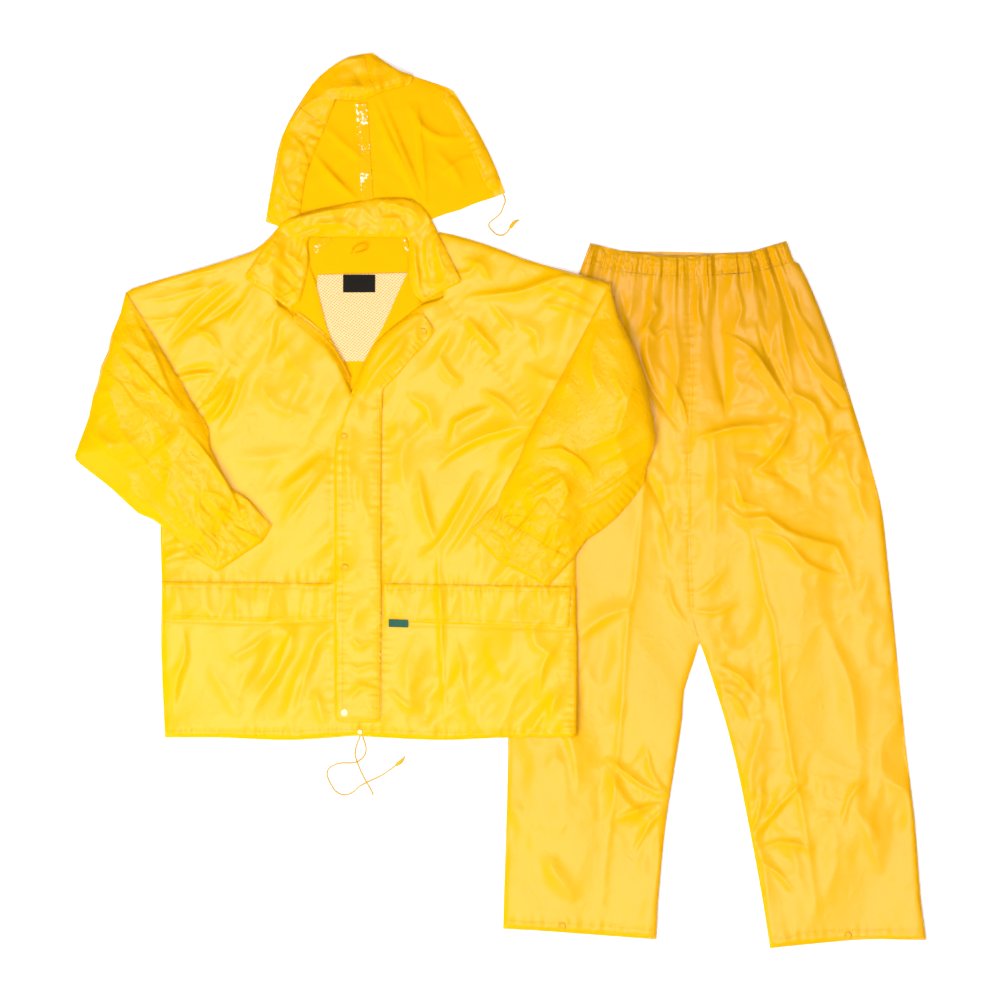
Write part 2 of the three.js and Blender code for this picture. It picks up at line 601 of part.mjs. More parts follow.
// Sleeves folded back over the fronts: the lower wall and the upper wall
const LEFT_TURN_INNER = points([
  [-600, 332], [-578, 299], [-544, 245], [-516, 197], [-488, 148], [-467, 113], [-465, 87],
  [-428, 18], [-404, 3], [-376, -25], [-366, -40],
]);
const LEFT_TURN_OUTER = points([
  [-381, -66], [-409, -84], [-445, -109], [-455, -113], [-475, -103], [-493, -89], [-509, -68],
  [-555, -31], [-580, -20], [-603, 1], [-621, 18], [-644, 36], [-672, 58], [-680, 66],
]);
const TURN_LEFT = [...LEFT_TURN_INNER, ...LEFT_TURN_OUTER, ...LEFT_FOLD.slice(0, -1)];
const RIGHT_TURN_OUTER = points([
  [246, 85], [235, 57], [229, 29], [201, -10], [183, -30], [158, -50], [138, -63], [124, -81],
  [120, -89], [76, -136],
]);
const RIGHT_TURN_INNER = points([
  [66, -132], [-5, -96], [-49, -47], [-41, -33], [-5, -5], [2, 16], [30, 67], [42, 100],
  [59, 131], [91, 188], [140, 281], [160, 318],
]);
const TURN_RIGHT = [...RIGHT_FOLD.slice(0, -1), ...RIGHT_TURN_OUTER, ...RIGHT_TURN_INNER];
const LEFT_TURN_FOLDS = table("x0 y0 x1 y1 half high", [
  [-611, 281, -552, 178, 24, 8],
  [-552, 178, -506, 138, 20, 7],
  [-620, 130, -563, 60, 26, 8],
  [-513, 115, -560, 75, 22, 7],
  [-505, 120, -430, 15, 20, 8],
  [-600, 210, -570, 120, 24, 5],
  [-560, 30, -500, -20, 24, 6],
]);
const RIGHT_TURN_FOLDS = table("x0 y0 x1 y1 half high", [
  [190, 270, 120, 150, 26, 7],
  [36, 1, 104, 41, 16, 9],
  [43, -20, 72, 13, 14, 7],
  [60, 75, 130, 90, 22, 7],
  [145, 62, 122, -10, 24, 8],
  [210, 120, 170, 30, 26, 6],
  [80, 150, 60, 110, 20, 5],
]);
const body = [jacketBack, jacketFront, pocketLeft, pocketRight];
const turnUnderLeft = layer({ outline: TURN_LEFT, under: [...trousers, ...body] });
const turnUnderRight = layer({ outline: TURN_RIGHT, under: [...trousers, ...body] });
const turnLeft = layer({
  outline: TURN_LEFT, under: [turnUnderLeft], loft: 8, loftReach: 35, folds: LEFT_TURN_FOLDS,
});
const turnRight = layer({
  outline: TURN_RIGHT, under: [turnUnderRight], loft: 8, loftReach: 35, folds: RIGHT_TURN_FOLDS,
});
panel("sleeve_left_turned_under", turnUnderLeft, TURN_LEFT, YELLOW);
panel("sleeve_right_turned_under", turnUnderRight, TURN_RIGHT, YELLOW);

// The upper wall of each turned sleeve stops at its gathered wrist.
const LEFT_WRIST = points([[-404, 3], [-493, -89]]);
const LEFT_WRIST_END = points([[-366, -40], [-381, -66], [-409, -84], [-445, -109], [-455, -113]]);
const RIGHT_WRIST = points([[114, -95], [-20, -17]]);
const RIGHT_WRIST_END = points([[75, -136], [66, -132], [-5, -96], [-49, -47]]);
const TOP_LEFT = [
  ...LEFT_TURN_INNER.slice(0, 8), ...shifted(LEFT_WRIST, -SEAM_GAP, SEAM_GAP), ...LEFT_TURN_OUTER.slice(6),
  ...LEFT_FOLD.slice(0, -1),
];
const TOP_RIGHT = [
  ...RIGHT_FOLD.slice(0, -1), ...RIGHT_TURN_OUTER.slice(0, 9), ...shifted(RIGHT_WRIST, SEAM_GAP, SEAM_GAP),
  ...RIGHT_TURN_INNER.slice(4),
];
panel("sleeve_left_turned_top", turnLeft, TOP_LEFT, YELLOW);
panel("sleeve_right_turned_top", turnRight, TOP_RIGHT, YELLOW);

const shared = sharedFaces();
for (const { name, made, outline, color } of panels) {
  const cutter = manifoldOf(prism(outline, -10, 200));
  addMesh(name, geometryOf(wallOf(made, shared).intersect(cutter).simplify(COPLANAR)), color);
}

// Highest point of a layer along two rows of points and between them.
function highestBetween(made, edge, foot) {
  let highest = 0;
  for (let across = 0; across <= 10; across++) {
    for (let along = 0; along <= 20; along++) {
      const p = alongEdge(edge, along / 20);
      const q = alongEdge(foot, along / 20);
      const x = THREE.MathUtils.lerp(p.x, q.x, across / 10);
      highest = Math.max(highest, topOf(made, x, THREE.MathUtils.lerp(p.y, q.y, across / 10)));
    }
  }
  return highest;
}
const WRISTS = [
  { name: "cuff_left", edge: reversed(LEFT_WRIST), foot: reversed(LEFT_WRIST_END), on: turnUnderLeft },
  { name: "cuff_right", edge: reversed(RIGHT_WRIST), foot: reversed(RIGHT_WRIST_END), on: turnUnderRight },
];
for (const { name, edge, foot, on } of WRISTS) {
  const floor = highestBetween(on, edge, foot) + SEAM_GAP;
  gatheredBand({ name, edge, foot, gathers: CUFF_GATHERS, floor, rise: GATHER_HEIGHT, color: YELLOW });
}

// Press studs and the eyelet, turned on the cloth under them
function stud(name, on, x, y, radius = STUD_RADIUS) {
  const around = Array.from({ length: 12 }, (_, n) => (n * Math.PI) / 6);
  const rim = around.map((turn) => [x + radius * Math.cos(turn), y + radius * Math.sin(turn)]);
  const top = Math.max(...rim.map(([u, v]) => topOf(on, u, v)));
  const z = top + SEAM_GAP;
  const profile = [[0, 0], [radius, 0], [radius, 1], [radius - 1, STUD_HEIGHT], [0, STUD_HEIGHT]];
  const geometry = new THREE.LatheGeometry(profile.map(([r, h]) => new THREE.Vector2(r, h)), 12);
  const cap = addMesh(name, geometry.rotateX(Math.PI / 2), YELLOW, 0.5);
  cap.position.set(x, y, z);
}
stud("stud_neck", storm, -124, 270);
stud("stud_chest", storm, -251, 102);
stud("stud_waist", storm, -249, -108);
stud("stud_hem", storm, -250, -339);
stud("stud_ankle_left", trouserFront, 98, -681);
stud("stud_ankle_right", trouserFront, 555, -696);
stud("eyelet", jacketFront, -225, -370, 4);

// Drawcords that lie free on the surface, and the toggles on their ends
function cord(name, route) {
  const stops = route.map((p) => new THREE.Vector3(p.x, p.y, p.z));
  const path = new THREE.CatmullRomCurve3(stops, false, "centripetal");
  const section = new THREE.Shape().absarc(0, 0, CORD_RADIUS, 0, 2 * Math.PI);
  const steps = Math.round(path.getLength() / (6 * CORD_RADIUS));
  const sides = { curveSegments: 4, bevelEnabled: false };
  const geometry = new THREE.ExtrudeGeometry(section, { extrudePath: path, steps, ...sides });
  addMesh(name, geometry, YELLOW);
}
const LOW = CORD_RADIUS + 0.1; // centre of a cord that lies on the surface
const OVER = LOW + 2 * CORD_RADIUS + SEAM_GAP; // centre of a cord that crosses another
const TOGGLE_RADIUS = 3;
const BEAD = TOGGLE_RADIUS + 0.1; // centre of a toggle, and of the cord where it enters one
const HOOD_CORD = table("x y z", [
  [4, 490, LOW], [7, 480, LOW], [4, 470, LOW], [-1, 459, LOW], [-11, 450, LOW], [-18, 444, LOW],
  [-19, 439, LOW], [-14, 432, LOW], [-7, 426, LOW], [0, 424, LOW], [8, 427, LOW + 1],
  [14.8, 435.7, BEAD],
]);
const HEM_CORD_LEFT = table("x y z", [
  [-225, -377.6, LOW], [-231, -393, LOW], [-233, -404, LOW], [-230, -418, LOW], [-225, -430, LOW],
  [-220, -441, LOW], [-214, -452, LOW], [-207, -464, LOW], [-204, -472, LOW],
]);
const HEM_CORD_RIGHT = table("x y z", [
  [-221, -377.8, LOW], [-216, -394, LOW], [-216, -402, LOW], [-219, -409, LOW + 1], [-226, -416, OVER],
  [-233, -419, OVER], [-240, -420, LOW + 1], [-254, -420, LOW], [-268, -424, LOW], [-277, -432, LOW],
  [-277, -442, LOW], [-271, -455, LOW], [-263, -466, LOW], [-250, -471, LOW], [-237, -467, LOW],
  [-228, -459, LOW + 1], [-218, -453, OVER], [-210, -449, OVER], [-199, -444, LOW + 1],
  [-186, -437, LOW], [-176, -430, LOW + 1], [-167.75, -423.7, BEAD],
]);
cord("hood_cord", HOOD_CORD);
cord("hem_cord_left", HEM_CORD_LEFT);
cord("hem_cord_right", HEM_CORD_RIGHT);

// A toggle is a short round bead that tapers to both ends, lying on the surface.
function toggle(name, x0, y0, x1, y1) {
  const long = Math.hypot(x1 - x0, y1 - y0);
  const wide = TOGGLE_RADIUS;
  const profile = [[0, 0], [2, 0], [wide, 3], [wide, long - 4], [2, long - 0.5], [0, long]];
  const geometry = new THREE.LatheGeometry(profile.map(([r, h]) => new THREE.Vector2(r, h)), 12);
  geometry.rotateZ(Math.atan2(y1 - y0, x1 - x0) - Math.PI / 2);
  const bead = addMesh(name, geometry, YELLOW, 0.5);
  bead.position.set(x0, y0, BEAD);
}
toggle("hood_toggle", 15, 436, 26, 451);
toggle("hem_toggle", -167.5, -423.5, -154, -414);

export default object;
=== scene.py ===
"""Rain suit laid flat on a pale floor, seen from straight above: jacket with its hood, and trousers."""

import math

import bmesh
import bpy
import numpy as np
from mathutils import Matrix, Vector


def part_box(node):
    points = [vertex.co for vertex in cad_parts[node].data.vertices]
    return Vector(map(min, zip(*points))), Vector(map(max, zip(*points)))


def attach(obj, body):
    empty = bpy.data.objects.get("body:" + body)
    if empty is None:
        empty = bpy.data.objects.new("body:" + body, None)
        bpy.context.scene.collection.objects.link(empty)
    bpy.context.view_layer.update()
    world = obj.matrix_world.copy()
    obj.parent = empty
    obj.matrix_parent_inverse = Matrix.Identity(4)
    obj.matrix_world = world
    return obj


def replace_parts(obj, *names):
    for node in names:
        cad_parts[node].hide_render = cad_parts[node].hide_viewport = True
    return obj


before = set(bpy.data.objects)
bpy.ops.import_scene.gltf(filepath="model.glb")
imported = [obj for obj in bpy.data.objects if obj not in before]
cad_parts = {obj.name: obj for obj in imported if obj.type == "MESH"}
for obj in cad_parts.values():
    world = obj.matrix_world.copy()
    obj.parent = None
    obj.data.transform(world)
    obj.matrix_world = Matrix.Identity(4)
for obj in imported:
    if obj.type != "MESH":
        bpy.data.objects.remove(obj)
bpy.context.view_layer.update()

# The camera hangs high over the middle of the suit and looks straight down, as in the photograph. From
# there the suit shows almost without perspective.
MM = 0.001
CAMERA_HEIGHT = 18.0
FLOOR_SHOWN = 1.6  # side of the square of floor in the picture
SENSOR = 36
camera_data = bpy.data.cameras.new("camera")
camera_data.sensor_width = SENSOR
camera_data.lens = SENSOR * CAMERA_HEIGHT / FLOOR_SHOWN
camera = bpy.data.objects.new("camera", camera_data)
camera.location = (-1.1 * MM, 0.8 * MM, CAMERA_HEIGHT)
bpy.context.scene.collection.objects.link(camera)
bpy.context.scene.camera = camera

# A white floor under the suit. A soft light over it, brighter towards its middle, gives the cloth its
# sheen. One from the lower left and a wide one from above, which no gloss shows, light it evenly.
FLOOR_SIDE = 14
FLOOR_DROP = 0.3 * MM  # the floor lies this far under the suit
bm = bmesh.new()
bmesh.ops.create_grid(bm, x_segments=1, y_segments=1, size=FLOOR_SIDE / 2)
bmesh.ops.translate(bm, verts=bm.verts, vec=(0, 0, -FLOOR_DROP))
floor_mesh = bpy.data.meshes.new("floor")
bm.to_mesh(floor_mesh)
floor = bpy.data.objects.new("floor", floor_mesh)
bpy.context.scene.collection.objects.link(floor)
paper = bpy.data.materials.new("paper")
paper.use_nodes = True
for socket, value in (
    ("Base Color", (0.92, 0.92, 0.92, 1)), ("Roughness", 0.9),
    ("Emission Color", (1, 1, 1, 1)), ("Emission Strength", 0.18),
):
    paper.node_tree.nodes["Principled BSDF"].inputs[socket].default_value = value
floor_mesh.materials.append(paper)

LIGHTS = [
    # place, size, watts, seen in gloss
    ((-1.3, -1.8, 40), 8.4, 440, True),
    ((-1.3, -1.8, 40), 14.1, 650, True),
    ((-1.3, -1.8, 40), 24.5, 760, True),
    ((-2.4, -2.4, 3.4), 2.6, 215, False),
    ((0.4, 0.2, 5.4), 6.0, 275, False),
]
for place, size, watts, in_gloss in LIGHTS:
    light_data = bpy.data.lights.new("soft_light", "AREA")
    light_data.shape = "SQUARE"
    light_data.size = size
    light_data.energy = watts
    light = bpy.data.objects.new("soft_light", light_data)
    light.location = place
    light.rotation_euler = (-Vector(place)).to_track_quat("-Z", "Y").to_euler()
    light.visible_camera = False
    light.visible_glossy = in_gloss
    bpy.context.scene.collection.objects.link(light)
world = bpy.data.worlds.new("studio")
world.use_nodes = True
world.node_tree.nodes["Background"].inputs["Color"].default_value = (1, 1, 1, 1)
world.node_tree.nodes["Background"].inputs["Strength"].default_value = 0.02
bpy.context.scene.world = world
bpy.context.scene.view_settings.view_transform = "Standard"


# Drawcords: thin braided cord that comes out of the hood's edge and of the hem, and lies free on the
# floor. The hood cord and the right hem cord end in a moulded bead that grips them, and the left hem
# cord is cut plain.
CORD_RADIUS = 1 * MM
LOW = 1.1  # height of the middle of a cord on the floor, in millimetres
OVER = 3.4  # where it crosses another
BEAD = 3.1  # where it enters a bead
HOOD_CORD = [
    (4, 490, LOW), (7, 480, LOW), (4, 470, LOW), (-1, 459, LOW), (-11, 450, LOW), (-18, 444, LOW),
    (-19, 439, LOW), (-14, 432, LOW), (-7, 426, LOW), (0, 424, LOW), (8, 427, LOW + 1),
    (14.8, 435.7, BEAD),
]
HEM_CORD_LEFT = [
    (-225, -377.6, LOW), (-231, -393, LOW), (-233, -404, LOW), (-230, -418, LOW), (-225, -430, LOW),
    (-220, -441, LOW), (-214, -452, LOW), (-207, -464, LOW), (-204, -472, LOW),
]
HEM_CORD_RIGHT = [
    (-221, -377.8, LOW), (-216, -394, LOW), (-216, -402, LOW), (-219, -409, LOW + 1), (-226, -416, OVER),
    (-233, -419, OVER), (-240, -420, LOW + 1), (-254, -420, LOW), (-268, -424, LOW), (-277, -432, LOW),
    (-277, -442, LOW), (-271, -455, LOW), (-263, -466, LOW), (-250, -471, LOW), (-237, -467, LOW),
    (-228, -459, LOW + 1), (-218, -453, OVER), (-210, -449, OVER), (-199, -444, LOW + 1),
    (-186, -437, LOW), (-176, -430, LOW + 1), (-167.75, -423.7, BEAD),
]


def finished(name, mesh, material, nodes=()):
    """Puts a mesh in the scene as a piece of the suit, in the place of its CAD nodes."""
    piece = bpy.data.objects.new(name, mesh)
    bpy.context.scene.collection.objects.link(piece)
    mesh.materials.append(material)
    for polygon in mesh.polygons:
        polygon.use_smooth = True
    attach(piece, "root")
    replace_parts(piece, *nodes)
    return piece


def surface(name, colour, roughness, **values):
    """A material with values on its shader, ready for what varies over the surface."""
    material = bpy.data.materials.new(name)
    material.use_nodes = True
    shader = material.node_tree.nodes["Principled BSDF"]
    shader.inputs["Base Color"].default_value = (*colour, 1)
    shader.inputs["Roughness"].default_value = roughness
    for socket, value in values.items():
        shader.inputs[socket.replace("_", " ")].default_value = value
    return material


def wire(tree, kind, **values):
    """A node of a tree, with values set on its sockets."""
    node = tree.nodes.new(kind)
    for socket, value in values.items():
        node.inputs[socket.replace("_", " ")].default_value = value
    return node


def placed(tree, kind, **values):
    """A node of a tree that reads its place on the piece."""
    node = wire(tree, kind, **values)
    place = wire(tree, "ShaderNodeTexCoord")
    tree.links.new(place.outputs["Object"], node.inputs["Vector"])
    return node


def raised(material, height, strength, distance):
    """Raises and sinks a material's surface by an output of one of its nodes."""
    tree = material.node_tree
    bump = wire(tree, "ShaderNodeBump", Strength=strength, Distance=distance)
    tree.links.new(height, bump.inputs["Height"])
    tree.links.new(bump.outputs["Normal"], tree.nodes["Principled BSDF"].inputs["Normal"])


def coloured(material, share, low, high, start=0.0, end=1.0):
    """Colours a material between two colours, by an output of one of its nodes."""
    tree = material.node_tree
    ramp = wire(tree, "ShaderNodeValToRGB")
    for stop, position, colour in zip(ramp.color_ramp.elements, (start, end), (low, high)):
        stop.position = position
        stop.color = (*colour, 1)
    tree.links.new(share, ramp.inputs["Fac"])
    tree.links.new(ramp.outputs["Color"], tree.nodes["Principled BSDF"].inputs["Base Color"])


braid = surface("braided_cord", (0.74, 0.37, 0.002), 0.6)
strands = placed(braid.node_tree, "ShaderNodeTexWave", Scale=420.0, Distortion=1.0)
raised(braid, strands.outputs["Fac"], 0.5, 0.2 * MM)


def drawcord(name, route):
    """A round cord along a route in millimetres."""
    line = bpy.data.curves.new(name, "CURVE")
    line.dimensions = "3D"
    line.bevel_depth = CORD_RADIUS
    line.bevel_resolution = 2
    line.resolution_u = 6
    line.use_fill_caps = True
    spline = line.splines.new("BEZIER")
    spline.bezier_points.add(len(route) - 1)
    for point, stop in zip(spline.bezier_points, route):
        point.co = Vector(stop) * MM
        point.handle_left_type = point.handle_right_type = "AUTO"
    line.materials.append(braid)
    piece = bpy.data.objects.new(f"{name}_braid", line)
    bpy.context.scene.collection.objects.link(piece)
    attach(piece, "root")
    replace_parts(piece, name)
    return piece


hood_cord = drawcord("hood_cord", HOOD_CORD)
hem_cord_left = drawcord("hem_cord_left", HEM_CORD_LEFT)
hem_cord_right = drawcord("hem_cord_right", HEM_CORD_RIGHT)

moulded = surface("moulded_bead", (0.86, 0.43, 0.004), 0.35)
grain = placed(moulded.node_tree, "ShaderNodeTexNoise", Scale=260.0, Detail=3.0)
raised(moulded, grain.outputs["Fac"], 0.35, 0.3 * MM)


def turned(name, rings, material, nodes):
    """A round piece drawn out through rings, each a middle, a radius and the way it faces."""
    bm = bmesh.new()
    first = rings[0]
    start = Matrix.Translation(first[0]) @ Vector(first[2]).to_track_quat("Z", "Y").to_matrix().to_4x4()
    bmesh.ops.create_circle(bm, cap_ends=True, segments=16, radius=first[1], matrix=start)
    bm.faces.ensure_lookup_table()
    face = bm.faces[0]
    middle, radius, facing = Vector(first[0]), first[1], Vector(first[2])
    for next_middle, next_radius, next_facing in rings[1:]:
        face = bmesh.ops.extrude_discrete_faces(bm, faces=[face])["faces"][0]
        turn = facing.rotation_difference(Vector(next_facing)).to_matrix().to_4x4()
        size = Matrix.Scale(next_radius / radius, 4)
        onwards = Matrix.Translation(next_middle) @ turn @ size @ Matrix.Translation(-middle)
        bmesh.ops.transform(bm, matrix=onwards, verts=face.verts)
        middle, radius, facing = Vector(next_middle), next_radius, Vector(next_facing)
    bmesh.ops.create_circle(bm, cap_ends=True, segments=16, radius=first[1], matrix=start)
    bmesh.ops.remove_doubles(bm, verts=bm.verts, dist=1e-6)
    bmesh.ops.recalc_face_normals(bm, faces=bm.faces)
    mesh = bpy.data.meshes.new(name)
    bm.to_mesh(mesh)
    return finished(name, mesh, material, nodes)


def bead(name, x, y, turn, bend):
    """A slim bead that swells round the cord, bends near its end and runs out in a thin tail."""
    shape = [
        # run along the bead, radius, both in millimetres
        (0, 1.7), (1.2, 2.6), (4, 3.0), (9, 2.9), (13, 2.5), (15.5, 1.7), (18, 1.0), (20.5, 0.6),
    ]
    rings, spot, heading, gone = [], Vector((x, y, BEAD)) * MM, math.radians(turn), 0
    for run, radius in shape:
        if run > 12:
            heading -= math.radians(bend) / 4
        way = Vector((math.cos(heading), math.sin(heading), 0))
        spot = spot + way * (run - gone) * MM
        gone = run
        rings.append((spot.copy(), radius * MM, way))
    return turned(f"{name}_bead", rings, moulded, [name])


hood_toggle = bead("hood_toggle", 15, 436, 54, 50)
hem_toggle = bead("hem_toggle", -167.5, -423.5, 35, -40)


# Trousers: front and back of each leg, cut from light coated nylon and seamed at the sides, the inseam
# and the centre. They lie flat with the front up; old press folds run down both legs, and the cloth
# falls in pleats from the elastic waist.
# The form of all the cloth is kept as heights on one grid of points, one set for each layer.
STEP = 2 * MM
HALF = 0.8
line = np.arange(-HALF, HALF + STEP / 2, STEP)
east, north = np.meshgrid(line, line)
CLOTH = 0.7 * MM  # thickness of a panel
GAP = 0.4 * MM  # between two layers


def blurred(field, reach):
    """Softens heights over a reach in metres, with three passes of a moving mean."""
    half = max(1, round(reach / STEP / 1.7))
    for axis in (0, 1, 0, 1, 0, 1):
        margin = [(0, 0), (0, 0)]
        margin[axis] = (half + 1, half)
        total = np.cumsum(np.pad(field, margin, mode="edge"), axis=axis)
        count = field.shape[axis]
        upper = np.take(total, np.arange(count) + 2 * half + 1, axis)
        field = (upper - np.take(total, np.arange(count), axis)) / (2 * half + 1)
    return field


def inside(outline):
    """1 at the grid points that an outline encloses, and 0 elsewhere."""
    found = np.zeros(east.shape, bool)
    for (x0, y0), (x1, y1) in zip(outline, outline[1:] + outline[:1]):
        rows = slice(*np.searchsorted(line, sorted((y0, y1))))
        if rows.start < rows.stop:
            cut = x0 + (line[rows] - y0) * (x1 - x0) / (y1 - y0)
            found[rows] ^= line[None, :] < cut[:, None]
    return found.astype(float)


def crumple(seed, size, stretch=1.0, turn=0.0):
    """Soft unevenness of about one size in metres, longer by stretch along the turned direction."""
    spectrum = np.fft.rfft2(np.random.default_rng(seed).standard_normal(east.shape))
    fy = np.fft.fftfreq(len(line), STEP)[:, None]
    fx = np.fft.rfftfreq(len(line), STEP)[None, :]
    lengthwise = (fx * math.cos(turn) + fy * math.sin(turn)) * size * stretch
    across = (fy * math.cos(turn) - fx * math.sin(turn)) * size
    spectrum *= np.exp(-(((np.hypot(lengthwise, across) - 1) / 0.5) ** 2))
    field = np.fft.irfft2(spectrum, east.shape)
    return field / field.std()


def facets(seed, size, stretch=1.0, turn=0.0):
    """Facets with sharp creases between them, as in cloth crushed by hand, from -0.5 to 0.5 or so."""
    random = np.random.default_rng(seed)
    bend = 0.35 * size
    x = east + bend * crumple(seed + 200, 1.6 * size)
    y = north + bend * crumple(seed + 300, 1.6 * size)
    u = (x * math.cos(turn) + y * math.sin(turn)) / (size * stretch) + 40
    v = (y * math.cos(turn) - x * math.sin(turn)) / size + 90
    places = random.random((2, 100, 200))
    nearest = np.full(east.shape, 9.0)
    for down in (-1, 0, 1):
        for across in (-1, 0, 1):
            i, j = np.floor(u).astype(int) + across, np.floor(v).astype(int) + down
            gone = np.hypot(u - i - places[0, i % 100, j % 200], v - j - places[1, i % 100, j % 200])
            nearest = np.minimum(nearest, gone)
    nearest = np.hypot(nearest, 0.25)
    return nearest - nearest.mean()


def beside(route, reach):
    """The window of the grid round a route, each point's distance from it, and its place along it."""
    xs, ys = zip(*route)
    columns = slice(*np.searchsorted(line, (min(xs) - reach, max(xs) + reach)))
    rows = slice(*np.searchsorted(line, (min(ys) - reach, max(ys) + reach)))
    x, y = east[rows, columns], north[rows, columns]
    away, along, done = np.full(x.shape, 9.0), np.zeros(x.shape), 0
    for (x0, y0), (x1, y1) in zip(route, route[1:]):
        length = math.hypot(x1 - x0, y1 - y0)
        ux, uy = (x1 - x0) / length, (y1 - y0) / length
        run = np.clip((x - x0) * ux + (y - y0) * uy, 0, length)
        distance = np.hypot(x - x0 - run * ux, y - y0 - run * uy)
        side = np.where(ux * (y - y0) - uy * (x - x0) < 0, -1, 1)
        nearer = distance < np.abs(away)
        away = np.where(nearer, distance * side, away)
        along = np.where(nearer, done + run, along)
        done += length
    return (rows, columns), away, along, done


def bent(route, closed=False, span=8 * MM, sharp=0.6):
    """A line through points, rounded where it turns by less than sharp and straight to the others."""
    stops = [Vector(stop) for stop in route]
    count = len(stops)
    ways = []
    for i, stop in enumerate(stops):
        before = stops[i - 1] if closed or i > 0 else stop * 2 - stops[i + 1]
        after = stops[(i + 1) % count] if closed or i < count - 1 else stop * 2 - before
        turn = (stop - before).angle(after - stop, 0)
        ways.append(((after - before).normalized(), turn > sharp))
    rounded = []
    for i in range(count if closed else count - 1):
        a, b = stops[i], stops[(i + 1) % count]
        long = (b - a).length
        chord = (b - a).normalized()
        leave = chord if ways[i][1] else ways[i][0]
        arrive = chord if ways[(i + 1) % count][1] else ways[(i + 1) % count][0]
        steps = max(1, round(long / span))
        for n in range(steps):
            t = n / steps
            spot = a * (1 + 2 * t) * (1 - t) ** 2 + b * t * t * (3 - 2 * t)
            rounded.append(spot + (leave * t * (1 - t) ** 2 - arrive * t * t * (1 - t)) * long)
    if not closed:
        rounded.append(stops[-1])
    return [tuple(stop) for stop in rounded]


def in_metres(route):
    """A route given in millimetres, in metres."""
    return [(x * MM, y * MM) for x, y in route]


def creased(heights, folds):
    """Adds folds: route in millimetres, width to each side, height, lean of the crest, and how sharp."""
    for route, half, high, lean, sharp in folds:
        line_of_fold = bent(in_metres(route))
        window, away, along, long = beside(line_of_fold, half * MM * 2.4)
        taper = np.sin(math.pi * np.clip(along / long, 0, 1)) ** 0.8
        half_here = half * MM * (1 + lean * np.sign(away)) * (0.5 + 0.5 * taper)
        off = np.abs(away) / half_here
        round_crest = np.exp(-((1.5 * off) ** 2))
        sharp_crest = np.exp(-2.2 * off)
        margin = np.clip(2.4 - off, 0, 0.4) / 0.4
        crisp = min(1, sharp + 0.2)
        share = ((1 - crisp) * round_crest + crisp * sharp_crest) * margin
        heights[window] += high * MM * share * taper


def seamed(heights, seams):
    """Adds seams: route in millimetres, depth of the groove, pucker height, its length and its reach."""
    for number, (route, depth, pucker, wave, reach) in enumerate(seams):
        window, away, along, long = beside(bent(in_metres(route)), reach * MM * 2.5)
        swing = along / (wave * MM) * 2 * math.pi
        uneven = 0.55 + 0.45 * np.sin(swing * 0.21 + number) * np.sin(swing * 0.083 + 2 * number)
        ripple = np.sin(swing + 1.3 * np.sin(swing * 0.17 + number)) * uneven
        ends = np.clip(np.minimum(along, long - along) / (3 * MM), 0, 1)
        groove = np.exp(-((away / (2.6 * MM)) ** 2))
        spread = np.exp(-((np.abs(away) / (reach * MM)) ** 1.5))
        heights[window] += ends * MM * (pucker * ripple * spread - depth * groove)


def outline_of(node):
    """The corners of a CAD panel's edge seen from above, in order."""
    bm = bmesh.new()
    bm.from_mesh(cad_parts[node].data)
    bmesh.ops.remove_doubles(bm, verts=bm.verts, dist=0.01 * MM)
    lower = [face for face in bm.faces if face.normal.z < 0.05]
    bmesh.ops.delete(bm, geom=lower, context="FACES")
    rim = [edge for edge in bm.edges if len(edge.link_faces) == 1]
    after = {}
    for edge in rim:
        loop = edge.link_loops[0]
        after[loop.vert] = loop.link_loop_next.vert
    spot = start = loop.vert
    corners = []
    while True:
        corners.append(spot.co.xy.copy())
        spot = after[spot]
        if spot == start:
            break
    kept = []
    for i, corner in enumerate(corners):
        before, next_one = corners[i - 1], corners[(i + 1) % len(corners)]
        if (corner - before).angle(next_one - corner, 0) > math.radians(1.2):
            kept.append(corner)
    bm.free()
    return [tuple(corner) for corner in kept]


def cover_of(*outlines):
    """1 where any of several panels that meet lies, and 0 elsewhere."""
    return np.clip(sum(inside(outline) for outline in outlines), 0, 1)


def lay(cover, under=(), loft=0, reach=40, folds=(), seams=(), crush=0, soft=12, rim=0.16):
    """A layer of cloth over a cover: it lies on what is under it, lofted, folded and crumpled.

    It bridges the hollows beside what lies under it, over soft millimetres. A small rim keeps it flat
    up to a tight edge, and a large one rounds it down to its edge.
    """
    resting = np.full(east.shape, CLOTH)
    for lower in under:
        on_it = lower["top"] + GAP + CLOTH
        resting = np.where(lower["covers"], np.maximum(resting, on_it), resting)
    depth = np.clip(blurred(cover, reach * MM) * 2 - 1, 0, 1)
    bridged = resting
    for _ in range(3):
        bridged = np.maximum(blurred(bridged, soft * MM), resting)
    wanted = blurred(bridged, min(soft, 8) * MM) + loft * MM * depth**rim
    wanted += crush * np.clip(depth * 3, 0, 1)
    creased(wanted, folds)
    seamed(wanted, seams)
    over = wanted - resting
    top = resting + np.clip(over, 0, None) + 0.4 * MM * np.exp(-np.abs(over) / (0.6 * MM))
    return {"top": top, "covers": blurred(cover, 3 * MM) > 0.02}


def sampled(field, x, y):
    """Heights of a grid at points between its own."""
    u, v = (np.asarray(x) + HALF) / STEP, (np.asarray(y) + HALF) / STEP
    i, j = u.astype(int), v.astype(int)
    u, v = u - i, v - j
    low = field[j, i] * (1 - u) + field[j, i + 1] * u
    high = field[j + 1, i] * (1 - u) + field[j + 1, i + 1] * u
    return low * (1 - v) + high * v


CELL = 24 * MM  # a panel is first cut into squares of this size
SEAM_SHARE = 0.14 * MM  # how far a panel is let out all round, so that seamed panels meet


